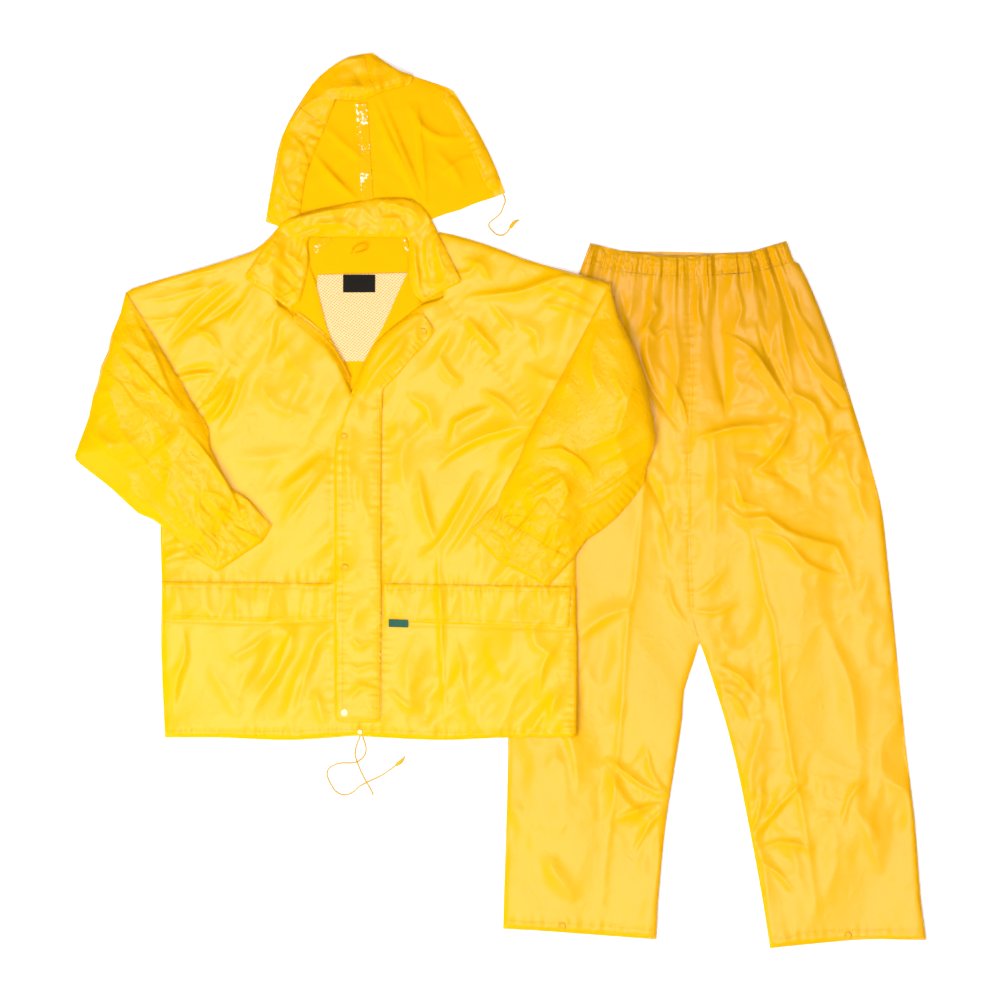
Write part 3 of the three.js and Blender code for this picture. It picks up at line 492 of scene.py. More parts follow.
def let_out(rim):
    """An outline moved outwards all round by its share of a seam."""
    turning = sum(x0 * y1 - x1 * y0 for (x0, y0), (x1, y1) in zip(rim, rim[1:] + rim[:1]))
    out = math.copysign(SEAM_SHARE, turning)
    moved_out = []
    for i, (x, y) in enumerate(rim):
        along = Vector(rim[(i + 1) % len(rim)]) - Vector(rim[i - 1])
        along.normalize()
        moved_out.append((x + along.y * out, y - along.x * out))
    return moved_out


def cut_cloth(outline, made, finer):
    """A panel cut to an outline, split into small faces and laid on its layer's heights."""
    bm = bmesh.new()
    rim = [bm.verts.new((x, y, 0)) for x, y in let_out(bent(outline, closed=True, span=CELL))]
    bm.faces.new(rim)
    xs, ys = [v.co.x for v in rim], [v.co.y for v in rim]
    for axis, low, high in ((0, min(xs), max(xs)), (1, min(ys), max(ys))):
        for n in range(math.ceil(low / CELL), math.floor(high / CELL) + 1):
            at = Vector((n * CELL, 0, 0)) if axis == 0 else Vector((0, n * CELL, 0))
            way = (1, 0, 0) if axis == 0 else (0, 1, 0)
            everything = bm.verts[:] + bm.edges[:] + bm.faces[:]
            bmesh.ops.bisect_plane(bm, geom=everything, dist=0.4 * MM, plane_co=at, plane_no=way)
    bmesh.ops.triangulate(bm, faces=[face for face in bm.faces if len(face.verts) > 4])
    bmesh.ops.subdivide_edges(bm, edges=bm.edges, cuts=finer - 1, use_grid_fill=True)
    bmesh.ops.recalc_face_normals(bm, faces=bm.faces)
    if sum(face.normal.z for face in bm.faces) < 0:
        bmesh.ops.reverse_faces(bm, faces=bm.faces)
    for edge in bm.edges:
        edge.smooth = not edge.is_boundary
    mesh = bpy.data.meshes.new("panel")
    bm.to_mesh(mesh)
    bm.free()
    spots = np.zeros(len(mesh.vertices) * 3)
    mesh.vertices.foreach_get("co", spots)
    spots = spots.reshape(-1, 3)
    spots[:, 2] = sampled(made["top"], spots[:, 0], spots[:, 1])
    mesh.vertices.foreach_set("co", spots.ravel())
    return mesh


def area_of(outline):
    """The area that an outline encloses."""
    turns = zip(outline, outline[1:] + outline[:1])
    return abs(sum(x0 * y1 - x1 * y0 for (x0, y0), (x1, y1) in turns)) / 2


EASE = 1.02  # a cut panel is this much longer each way than it lies, for its folds


def panel(node, made, material, finer=7, outline=None):
    """A cloth panel that replaces the CAD wall of the same name, with its real thickness."""
    outline = outline or outline_of(node)
    mesh = cut_cloth(outline, made, finer)
    piece = finished(f"{node}_cloth", mesh, material, [node])
    wall = piece.modifiers.new("wall", "SOLIDIFY")
    wall.thickness = CLOTH
    wall.offset = -1
    long = max((Vector(a) - Vector(b)).length for a in outline for b in outline) * EASE
    area = area_of(outline) * EASE**2
    return piece


# Coated nylon: a fine plain weave under a shiny coat, with countless small crushed creases. Every cloth
# of the suit uses this effect with its own values.
coated = bpy.data.node_groups.new("coated_nylon", "ShaderNodeTree")
for socket, kind, value in (
    ("Colour", "NodeSocketColor", (0.9, 0.6, 0.01, 1)),
    ("Deep Colour", "NodeSocketColor", (0.85, 0.5, 0.01, 1)),
    ("Crease Size", "NodeSocketFloat", 40.0),
    ("Crease Depth", "NodeSocketFloat", 0.5),
    ("Roughness", "NodeSocketFloat", 0.3),
):
    made_socket = coated.interface.new_socket(name=socket, in_out="INPUT", socket_type=kind)
    made_socket.default_value = value
for socket, kind in (
    ("Colour", "NodeSocketColor"), ("Roughness", "NodeSocketFloat"), ("Normal", "NodeSocketVector"),
):
    coated.interface.new_socket(name=socket, in_out="OUTPUT", socket_type=kind)
join = coated.links.new
given = wire(coated, "NodeGroupInput")
result = wire(coated, "NodeGroupOutput")
patches = placed(coated, "ShaderNodeTexNoise", Scale=9.0, Detail=4.0)
tint = wire(coated, "ShaderNodeMix")
tint.data_type = "RGBA"
join(patches.outputs["Fac"], tint.inputs["Factor"])
join(given.outputs["Colour"], tint.inputs["A"])
join(given.outputs["Deep Colour"], tint.inputs["B"])
join(tint.outputs["Result"], result.inputs["Colour"])
crease = placed(coated, "ShaderNodeTexNoise", Detail=2.5, Distortion=0.6)
crease.noise_type = "RIDGED_MULTIFRACTAL"
join(given.outputs["Crease Size"], crease.inputs["Scale"])
crease_bump = wire(coated, "ShaderNodeBump", Distance=1.0 * MM)
join(given.outputs["Crease Depth"], crease_bump.inputs["Strength"])
join(crease.outputs["Fac"], crease_bump.inputs["Height"])
weave = placed(coated, "ShaderNodeTexWave", Scale=240.0, Distortion=1.5, Detail=2.0)
weave_bump = wire(coated, "ShaderNodeBump", Strength=0.05, Distance=0.1 * MM)
join(weave.outputs["Fac"], weave_bump.inputs["Height"])
join(crease_bump.outputs["Normal"], weave_bump.inputs["Normal"])
join(weave_bump.outputs["Normal"], result.inputs["Normal"])
uneven_gloss = wire(coated, "ShaderNodeMapRange", To_Min=-0.05, To_Max=0.07)
join(patches.outputs["Fac"], uneven_gloss.inputs["Value"])
gloss_sum = wire(coated, "ShaderNodeMath")
join(uneven_gloss.outputs["Result"], gloss_sum.inputs[0])
join(given.outputs["Roughness"], gloss_sum.inputs[1])
join(gloss_sum.outputs["Value"], result.inputs["Roughness"])


def nylon(name, colour, deep, roughness=0.3, size=40.0, depth=0.4, **values):
    """A coated nylon, mottled between two close colours."""
    material = surface(name, colour, roughness, **values)
    shader = material.node_tree.nodes["Principled BSDF"]
    group = material.node_tree.nodes.new("ShaderNodeGroup")
    group.node_tree = coated
    for socket, value in (
        ("Colour", (*colour, 1)), ("Deep Colour", (*deep, 1)), ("Crease Size", size),
        ("Crease Depth", depth), ("Roughness", roughness),
    ):
        group.inputs[socket].default_value = value
    for given_out, taken_in in (("Colour", "Base Color"), ("Roughness", "Roughness"), ("Normal", "Normal")):
        material.node_tree.links.new(group.outputs[given_out], shader.inputs[taken_in])
    return material


trouser_cloth = nylon(
    "trouser_nylon", (0.92, 0.455, 0.002), (0.90, 0.42, 0.002), roughness=0.13, size=70, depth=0.3,
    Specular_IOR_Level=0.55,
)
# Painted shade: the trousers' colour is multiplied darker towards the waist, as the shade that lies there.
shader = trouser_cloth.node_tree.nodes["Principled BSDF"]
tree = trouser_cloth.node_tree
plain_colour = shader.inputs["Base Color"].links[0].from_socket
spot = placed(tree, "ShaderNodeSeparateXYZ")
nearness = wire(tree, "ShaderNodeMapRange", From_Min=0.02, From_Max=0.36, To_Min=0.0, To_Max=1.0)
nearness.interpolation_type = "SMOOTHSTEP"
tree.links.new(spot.outputs["Y"], nearness.inputs["Value"])
painted_waist_shade = wire(tree, "ShaderNodeMix")
painted_waist_shade.data_type = "RGBA"
painted_waist_shade.blend_type = "MULTIPLY"
painted_waist_shade.inputs["B"].default_value = (0.79, 0.76, 0.55, 1)
tree.links.new(nearness.outputs["Result"], painted_waist_shade.inputs["Factor"])
tree.links.new(plain_colour, painted_waist_shade.inputs["A"])
tree.links.new(painted_waist_shade.outputs["Result"], shader.inputs["Base Color"])
# This table of folds and the later ones are in millimetres, measured from the middle of the suit.
TROUSER_FOLDS = [
    # route, width to each side, height, lean of the crest, sharpness
    ([(337, 295), (348, 222), (362, 129)], 9, -7, 0.3, 0.7),
    ([(343, 273), (396, 247), (444, 183), (474, 131)], 10, 5.5, -0.5, 0.8),
    ([(311, 99), (370, 115), (402, 120)], 8, 4.5, 0.5, 0.8),
    ([(408, 295), (423, 241), (453, 183)], 9, -4, 0.3, 0.6),
    ([(446, 308), (455, 241), (469, 174)], 9, 4.5, 0.4, 0.7),
    ([(472, 276), (504, 215), (567, 161)], 10, 5, 0.4, 0.7),
    ([(472, 127), (444, 81), (408, 48), (453, 35)], 9, 4.5, -0.4, 0.8),
    ([(369, 50), (384, -4), (431, -16)], 9, 4, 0.4, 0.8),
    ([(511, 48), (536, 99), (570, 113)], 9, 4, 0.4, 0.7),
    ([(218, 247), (232, 278), (247, 259), (264, 274), (280, 218)], 5, 3.5, 0.4, 0.9),
    ([(220, 247), (237, 188), (287, 110)], 9, -4.5, 0.3, 0.5),
    ([(229, 337), (252, 305), (216, 260)], 7, 3.5, 0.4, 0.8),
    ([(191, 337), (200, 298), (210, 254)], 8, -4, 0.3, 0.5),
    ([(248, 222), (287, 164), (301, 113)], 9, 3.5, -0.4, 0.7),
    ([(223, 55), (255, -2), (268, -54)], 12, -5, 0.3, 0.4),
    ([(511, 190), (543, 151), (572, 151)], 10, -4, 0.3, 0.5),
    ([(376, 350), (386, 305), (370, 266)], 7, 4, 0.4, 0.8),
    ([(421, 350), (428, 311), (444, 286)], 7, -4, 0.3, 0.6),
    ([(472, 350), (479, 305), (504, 266)], 7, -3.5, 0.3, 0.6),
    ([(319, 350), (316, 305), (325, 273)], 7, 4, -0.3, 0.7),
    ([(338, 337), (345, 260), (360, 151)], 22, -6, 0, 0.3),
    ([(316, 100), (368, 114), (420, 120), (468, 129)], 22, 5, -0.3, 0.4),
    ([(468, 129), (445, 85), (411, 47)], 18, 5, 0.3, 0.5),
    ([(387, 273), (430, 190), (468, 129)], 18, 4, 0.3, 0.4),
    ([(429, 246), (467, 172), (501, 156), (520, 119), (520, 58)], 17, 4.5, -0.3, 0.5),
    ([(549, 114), (533, 82), (496, 42)], 18, 4, 0.3, 0.5),
    ([(352, -1), (389, -30), (424, -25), (469, -54), (538, -74), (559, -126)], 20, 6, -0.4, 0.5),
    ([(559, -126), (496, -104), (451, -62), (397, -49)], 16, 4, 0.4, 0.5),
    ([(366, 129), (374, 74), (392, -26), (400, -50), (423, -158), (436, -193), (451, -327),
      (468, -431), (488, -530), (508, -672)], 12, 2.6, 0.1, 0.9),
    ([(260, 180), (235, 60), (215, -134), (205, -180), (192, -351), (179, -490), (168, -588),
      (164, -671)], 12, 2.4, -0.1, 0.9),
    ([(122, -223), (160, -190), (212, -169)], 22, 4, 0.3, 0.2),
    ([(164, -418), (200, -480), (245, -516)], 22, 4.5, -0.3, 0.3),
    ([(60, -300), (110, -380), (125, -470)], 24, 3.5, 0.4, 0.2),
    ([(60, -560), (90, -600), (120, -640)], 26, 3.5, 0, 0.2),
    ([(258, 50), (262, -30), (268, -110)], 22, 4, 0.3, 0.3),
    ([(560, -480), (590, -540), (610, -600)], 24, 3, 0, 0.2),
    ([(420, -350), (400, -440), (410, -520)], 20, 3, 0.3, 0.3),
    ([(520, -200), (560, -300), (570, -420)], 26, 3.5, -0.3, 0.2),
    ([(470, 10), (430, 70), (360, 85)], 20, -3.5, 0, 0.1),
    ([(590, -40), (560, 30), (540, 100)], 18, 3, 0, 0.3),
    ([(335, 130), (345, 40), (340, -60)], 18, 3, 0.2, 0.3),
    ([(250, 340), (232, 250), (260, 150)], 18, 4, 0.3, 0.5),
    ([(215, 330), (190, 255), (215, 190)], 14, 3.5, -0.3, 0.5),
    ([(410, 350), (440, 290), (425, 215)], 16, 4.5, 0.3, 0.5),
    ([(455, 350), (490, 280), (520, 220)], 18, 4, -0.3, 0.4),
    ([(275, 300), (285, 220), (268, 120)], 16, 3.5, 0, 0.5),
    ([(264, -476), (220, -452), (168, -412)], 9, 4.0, -0.4, 0.7),
    ([(264, -484), (225, -492), (180, -512)], 8, 3.4, 0.4, 0.7),
    ([(262, -492), (236, -522), (212, -566)], 8, 3.0, -0.3, 0.7),
    ([(266, -470), (243, -438), (232, -392)], 8, 3.2, 0.3, 0.7),
    ([(402, -546), (436, -502), (492, -440)], 9, 4.0, 0.4, 0.7),
    ([(406, -560), (452, -546), (506, -560)], 8, 3.4, -0.4, 0.7),
    ([(410, -576), (440, -594), (468, -628)], 8, 3.0, 0.3, 0.7),
    ([(398, -538), (412, -498), (418, -446)], 8, 3.2, -0.3, 0.7),
    ([(345, -262), (382, -282), (412, -318)], 8, 3.4, 0.4, 0.7),
    ([(352, -300), (380, -322), (398, -360)], 8, 3.0, -0.3, 0.7),
    ([(306, -176), (342, -180), (378, -164)], 8, 2.6, 0.4, 0.7),
    ([(312, -150), (338, -132), (362, -104)], 9, 2.2, -0.4, 0.6),
    ([(297, -196), (276, -166), (266, -120)], 9, 2.0, 0.3, 0.5),
    ([(590, -440), (560, -470), (545, -520)], 9, 3.0, 0.3, 0.6),
]
WAIST_FOOT = [(143, 386), (190, 374), (259, 366), (320, 366), (400, 372), (457, 389)]


def moved(route, dx, dy=0):
    """A route shifted to the east and to the north."""
    return [(x + dx, y + dy) for x, y in route]


TROUSER_SEAMS = [
    # route, depth of the groove, height of its puckers, their length and their reach
    ([(297, 365), (304, 207), (300, 100), (300, 7), (301, -100), (305, -180)], 0.4, 0.5, 13, 9),
    ([(7, -671), (125, -677), (247, -688)], 0.5, 0.5, 16, 8),
    ([(434, -702), (508, -692), (679, -688)], 0.5, 0.5, 16, 8),
    (moved(WAIST_FOOT, 0, 1), 0.5, 0.3, 8, 5),
    (moved(WAIST_FOOT, 0, 21), 0.4, 0.3, 8, 3),
]


def gathered(heights, foot, waves, reach_down):
    """Pleats that fan from a gathered line: each wave is its length, height and how far it runs."""
    window, away, along, long = beside(bent(in_metres(foot)), reach_down * MM)
    for wave, high, run in waves:
        swing = along / (wave * MM) * 2 * math.pi
        swing = swing + 1.7 * np.sin(swing * 0.23) + 0.9 * np.sin(swing * 0.61 + 1)
        uneven = 0.6 + 0.4 * np.sin(swing * 0.31 + 2)
        heights[window] += high * MM * uneven * np.sin(swing) * np.exp(-np.abs(away) / (run * MM))


leg_left = outline_of("trouser_front_left")
leg_right = outline_of("trouser_front_right")
both_legs = cover_of(leg_left, leg_right)
band_back = outline_of("waistband_back")
band_front = outline_of("waistband_front")


def round_spot(x, y, reach):
    """1 at a place in millimetres, fading out over a reach."""
    return np.exp(-((east - x * MM) ** 2 + (north - y * MM) ** 2) / (reach * MM) ** 2)


crushed_knees = round_spot(215, -465, 70) + round_spot(430, -490, 90) + round_spot(385, -285, 55)
crushed_seat = round_spot(470, 60, 130) + 0.7 * round_spot(250, 20, 60) + round_spot(400, 230, 90)
uneven = np.clip(0.6 + 0.5 * crumple(5, 0.26), 0.15, 1.5)
trouser_crush = MM * (
    1.3 * crumple(3, 0.17, 2.4, 1.6)
    + uneven * (0.9 * (0.8 - np.abs(crumple(4, 0.08, 2.6, 1.5))) + 0.2 * crumple(6, 0.03, 2.0, 1.5))
    + crushed_knees * (4.6 * facets(62, 0.044, 1.9, 0.7) + 0.8 * facets(63, 0.02, 1.6, 0.9))
    + crushed_seat * 4.0 * facets(64, 0.055, 2.0, 1.2)
)
pleats = np.zeros(east.shape)
band_gathers = np.zeros(east.shape)
gathered(band_gathers, moved(WAIST_FOOT, 0, 13), [(4.7, 1.0, 12), (7.3, 0.8, 14), (19, 0.5, 20)], 60)
band_gathers += 2.4 * MM * facets(61, 0.011, 1.3, 1.5) * blurred(cover_of(band_front), 9 * MM)
gathered(pleats, WAIST_FOOT, [(7.4, 1.4, 18), (15, 2.0, 38), (31, 3.0, 80), (52, 2.4, 120)], 260)
trouser_back = lay(both_legs)
waist_back = lay(cover_of(band_back))
trouser_front = lay(
    cover_of(leg_left, leg_right, band_front), under=[trouser_back, waist_back], loft=5, reach=7, rim=0.3,
    folds=TROUSER_FOLDS, seams=TROUSER_SEAMS, crush=trouser_crush + pleats + band_gathers,
)
for side in ("left", "right"):
    panel(f"trouser_back_{side}", trouser_back, trouser_cloth, finer=2)
    panel(
        f"trouser_front_{side}", trouser_front, trouser_cloth,
    )

# Sewing thread: rows of short stitches that lie in the groove they pull into the cloth. Each row is
# lockstitch at about seven stitches to the inch, in thread of the cloth's colour painted darker, as shade
# in the groove.
thread = nylon(
    "sewing_thread", (0.87, 0.35, 0.001), (0.85, 0.32, 0.001), roughness=0.55, size=300.0, depth=0.2,
)
STITCH = 2.6 * MM
STITCH_PITCH = 3.6 * MM
THREAD_RADIUS = 0.35 * MM


def stitched(name, made, routes):
    """Rows of stitches along routes in millimetres, lying on a layer."""
    bm = bmesh.new()
    for route in routes:
        stops = [Vector(spot) for spot in bent(in_metres(route), span=STITCH_PITCH)]
        for a, b in zip(stops, stops[1:]):
            middle = (a + b) / 2
            way = (b - a).normalized()
            rise = sampled(made["top"], [a.x, b.x], [a.y, b.y])
            tilt = Vector((way.x, way.y, (rise[1] - rise[0]) / max((b - a).length, MM)))
            spot = Matrix.Translation((middle.x, middle.y, rise.mean() + THREAD_RADIUS * 0.4))
            turn = tilt.to_track_quat("X", "Z").to_matrix().to_4x4()
            shape = Matrix.Diagonal((STITCH / 2, THREAD_RADIUS, THREAD_RADIUS, 1))
            bmesh.ops.create_icosphere(bm, subdivisions=1, radius=1, matrix=spot @ turn @ shape)
    mesh = bpy.data.meshes.new(name)
    bm.to_mesh(mesh)
    bm.free()
    return finished(name, mesh, thread)


stitched("trouser_stitching", trouser_front, [
    moved(TROUSER_SEAMS[0][0], 3.5), TROUSER_SEAMS[1][0], TROUSER_SEAMS[2][0],
    moved(TROUSER_SEAMS[2][0], 0, 3),
])

# Waistband: a channel of the trouser cloth drawn up on wide elastic, so that it stands in close
# gathers. Its back lies under its front and shows above it in the middle.
panel("waistband_back", waist_back, trouser_cloth, finer=4)
panel("waistband_front", trouser_front, trouser_cloth, finer=12)

# Hood: a deep back layer seen from its matt inside, with a front layer that turns over it down the left
# side and across the brow, a hem band on the right edge and clear tape over the inner seam.
jacket_cloth = nylon(
    "jacket_nylon", (0.94, 0.49, 0.0003), (0.92, 0.455, 0.0003), roughness=0.12, size=70, depth=0.3,
    Specular_IOR_Level=0.55,
)
inner_cloth = nylon(
    "inner_nylon", (0.93, 0.46, 0.0003), (0.91, 0.42, 0.0003), roughness=0.45, depth=0.25,
    Specular_IOR_Level=0.02,
)
# The same cloth where it was crushed in folding: on the turned sleeves and the front of the hood. Its
# colour is a little deeper than the jacket nylon's, as painted shade.
crushed_shaded_cloth = nylon(
    "crushed_shaded_nylon", (0.93, 0.475, 0.0003), (0.92, 0.44, 0.0003), roughness=0.1, size=110, depth=0.7,
    Specular_IOR_Level=0.42,
)
HOOD_BACK_FOLDS = [
    ([(-205, 640), (-185, 590), (-150, 520), (-130, 470)], 8, 8.0, 0.5, 0.8),
    ([(-192, 648), (-160, 570), (-118, 470)], 6, 5.6, -0.4, 0.8),
    ([(-136, 640), (-128, 560), (-120, 470)], 6, 7.2, 0.5, 1.0),
    ([(-150, 640), (-128, 600), (-95, 580), (-50, 582)], 10, 6.4, 0.3, 0.6),
    ([(-300, 556), (-265, 515), (-228, 480)], 10, 6.4, -0.3, 0.6),
    ([(-285, 600), (-240, 560), (-215, 540)], 12, 4.0, 0.3, 0.5),
    ([(-105, 560), (-75, 530), (-60, 500)], 10, 4.0, 0, 0.5),
    ([(-98, 520), (-60, 545), (-35, 548)], 9, 4.0, 0, 0.5),
]
HOOD_FRONT_FOLDS = [
    ([(-350, 590), (-320, 625), (-285, 650)], 13, 5, -0.4, 0.5),
    ([(-285, 655), (-240, 660), (-200, 655)], 13, 4, 0.4, 0.4),
    ([(-313, 673), (-273, 702), (-217, 708)], 12, 4, -0.3, 0.5),
    ([(-355, 545), (-345, 500), (-320, 470)], 13, 3.5, 0.3, 0.5),
    ([(-340, 590), (-315, 560), (-305, 520)], 12, 3.5, -0.3, 0.5),
    ([(-365, 500), (-345, 470), (-340, 440)], 12, 3, 0.3, 0.4),
    ([(-190, 700), (-160, 685), (-130, 672)], 10, 3, 0, 0.4),
    ([(-232, 690), (-225, 670), (-215, 650)], 9, -2, 0, 0.3),
    ([(-300, 630), (-262, 645), (-225, 648), (-188, 662), (-145, 672), (-100, 665)], 34, 6, 0, 0),
]
HOOD_FRONT_SEAMS = [
    ([(-216, 715), (-211, 690), (-205, 668)], 1.0, 0.4, 7, 5),
    ([(-145, 669), (-188, 659), (-225, 644), (-262, 645)], 0.5, 1.1, 14, 12),
    ([(-276, 612), (-292, 575), (-312, 520), (-322, 460)], 0.4, 1.4, 17, 16),
    ([(-65, 606), (-45, 560), (-22, 511)], 0.6, 0.9, 13, 8),
]
hood_outline = outline_of("hood_back")
side_outline = outline_of("hood_side")
brim_outline = outline_of("hood_brim")
hem_outline = outline_of("hood_hem")
hood_crush = MM * (3.4 * facets(21, 0.05, 1.8, 1.2) + 0.2 * crumple(22, 0.03))
hood_back = lay(
    cover_of(hood_outline), loft=3, folds=HOOD_BACK_FOLDS, crush=0.6 * hood_crush + 1.2 * MM,
    seams=[([(-217, 634), (-210, 560), (-206, 480)], 0.6, 0.7, 12, 9)],
)
hood_front = lay(
    cover_of(side_outline, brim_outline, hem_outline), under=[hood_back], loft=2.5, reach=16,
    folds=HOOD_FRONT_FOLDS, seams=HOOD_FRONT_SEAMS, crush=1.3 * hood_crush + 0.8 * MM, soft=5,
)
panel("hood_back", hood_back, inner_cloth)
for node in ("hood_side", "hood_brim", "hood_hem"):
    panel(node, hood_front, crushed_shaded_cloth, finer=10)
stitched("hood_stitching", hood_front, [
    moved(HOOD_FRONT_SEAMS[0][0], 2.5), moved(HOOD_FRONT_SEAMS[0][0], -2.5), HOOD_FRONT_SEAMS[1][0],
    HOOD_FRONT_SEAMS[3][0],
])

# Seam tape: clear film welded over the hood's inner seam. It is crinkled, and the glints on its tops are
# painted into its colour as white flecks.
tape = surface("clear_tape", (0.92, 0.44, 0.002), 0.4, Specular_IOR_Level=0.02)
tree = tape.node_tree
flecks = placed(tree, "ShaderNodeTexNoise", Scale=170.0, Detail=2.0)
spread = placed(tree, "ShaderNodeTexNoise", Scale=28.0, Detail=1.0)
both = wire(tree, "ShaderNodeMath")
tree.links.new(flecks.outputs["Fac"], both.inputs[0])
tree.links.new(spread.outputs["Fac"], both.inputs[1])
mean = wire(tree, "ShaderNodeMath")
mean.operation = "MULTIPLY"
mean.inputs[1].default_value = 0.5
tree.links.new(both.outputs["Value"], mean.inputs[0])
# Painted highlights: the pale end of this ramp is the glint on the crinkle tops.
coloured(tape, mean.outputs["Value"], (0.92, 0.43, 0.002), (0.95, 0.84, 0.62), start=0.555, end=0.59)
raised(tape, flecks.outputs["Fac"], 0.6, 1.0 * MM)
hood_tape = lay(cover_of(outline_of("hood_tape")), under=[hood_back], soft=2)
panel("hood_tape", hood_tape, tape)

# Jacket back, with the back halves of both sleeves. It lies under everything else of the jacket and
# partly on the trousers, and its matt inside shows in the open neck.
jacket_back = lay(
    cover_of(outline_of("jacket_back"), outline_of("sleeve_left_back"), outline_of("sleeve_right_back")),
    under=[trouser_back, trouser_front, waist_back], crush=0.5 * hood_crush + 0.6 * MM, soft=45,
)
panel("jacket_back", jacket_back, inner_cloth, finer=3)
panel("sleeve_left_back", jacket_back, jacket_cloth, finer=2)
panel("sleeve_right_back", jacket_back, jacket_cloth, finer=2)

# Ends of seam tape: two short lengths of the same clear film, welded over the shoulder seams, that show
# inside the neck, below the collar.
NECK_TAPES = [
    ("neck_tape_left", [(-303, 401), (-297, 395), (-271, 414), (-273, 422), (-289, 420)]),
    ("neck_tape_right", [(-163, 422), (-153, 423), (-146, 399), (-152, 394)]),
]
for name, corners in NECK_TAPES:
    outline = in_metres(corners)
    tape_bit = lay(cover_of(outline), under=[jacket_back], soft=2)
    finished(name, cut_cloth(outline, tape_bit, 8), tape)

# Lining in the upper back: a cream knitted net with rows of small holes on the slant, sewn into the neck
# seam and the facings. Only the part that the open neck shows is built.
net = surface("lining_net", (0.90, 0.72, 0.36), 0.6, Specular_IOR_Level=0.3)
HOLE_PITCH = 4.2 * MM
HOLE_SLANT = math.radians(38)
slant = placed(
    net.node_tree, "ShaderNodeMapping", Rotation=(0, 0, HOLE_SLANT),
    Scale=(1 / HOLE_PITCH, 1.25 / HOLE_PITCH, 0),
)
holes = wire(net.node_tree, "ShaderNodeTexVoronoi", Scale=1.0, Randomness=0.12)
net.node_tree.links.new(slant.outputs["Vector"], holes.inputs["Vector"])
coloured(net, holes.outputs["Distance"], (0.80, 0.36, 0.07), (0.95, 0.68, 0.36), start=0.25, end=0.42)
raised(net, holes.outputs["Distance"], 0.6, 0.5 * MM)
lining_outline = outline_of("mesh_lining")
lining = lay(cover_of(lining_outline), under=[jacket_back], crush=0.5 * hood_crush + 0.5 * MM, soft=6)
panel("mesh_lining", lining, net, finer=4)

# Neck label: a plate of plain dark satin weave, bare, sewn along its top to the lining just below the
# neck seam.
satin = surface("label_satin", (0.010, 0.008, 0.006), 0.5, Specular_IOR_Level=0.3)
threads = placed(satin.node_tree, "ShaderNodeTexWave", Scale=330.0, Distortion=0.6)
coloured(satin, threads.outputs["Fac"], (0.005, 0.004, 0.003), (0.016, 0.013, 0.009))
raised(satin, threads.outputs["Fac"], 0.4, 0.2 * MM)
label = lay(cover_of(outline_of("neck_label")), under=[lining], soft=2)
panel("neck_label", label, satin)

# Hanging loop: a narrow rolled strip of the cloth, its ends caught in the neck seam. It stands up from the
# back in a low arch.
LOOP_ROUTE = [(-239, 396), (-236, 404), (-226, 409), (-216, 408), (-214, 402), (-222, 398), (-234, 395)]
LOOP_WIDTH = 4 * MM
LOOP_RISE = 3.2 * MM
bm = bmesh.new()
stops = bent(in_metres(LOOP_ROUTE), span=2 * MM)
rise = sampled(jacket_back["top"], *zip(*stops))
previous = None
for number, ((x, y), z) in enumerate(zip(stops, rise)):
    arch = LOOP_RISE * math.sin(math.pi * number / (len(stops) - 1))
    pair = [bm.verts.new((x, y - LOOP_WIDTH / 4, z + 1.6 * MM + arch)),
            bm.verts.new((x + 1 * MM, y + LOOP_WIDTH / 4, z + 2.6 * MM + arch))]
    edge = bm.edges.new(pair)
    if previous:
        bmesh.ops.bridge_loops(bm, edges=[previous, edge])
    previous = edge
mesh = bpy.data.meshes.new("hanging_loop_strip")
bm.to_mesh(mesh)
bm.free()
hanging_loop = finished("hanging_loop_strip", mesh, inner_cloth, ["hanging_loop"])
wall = hanging_loop.modifiers.new("wall", "SOLIDIFY")
wall.thickness = 1 * MM
wall.offset = 0

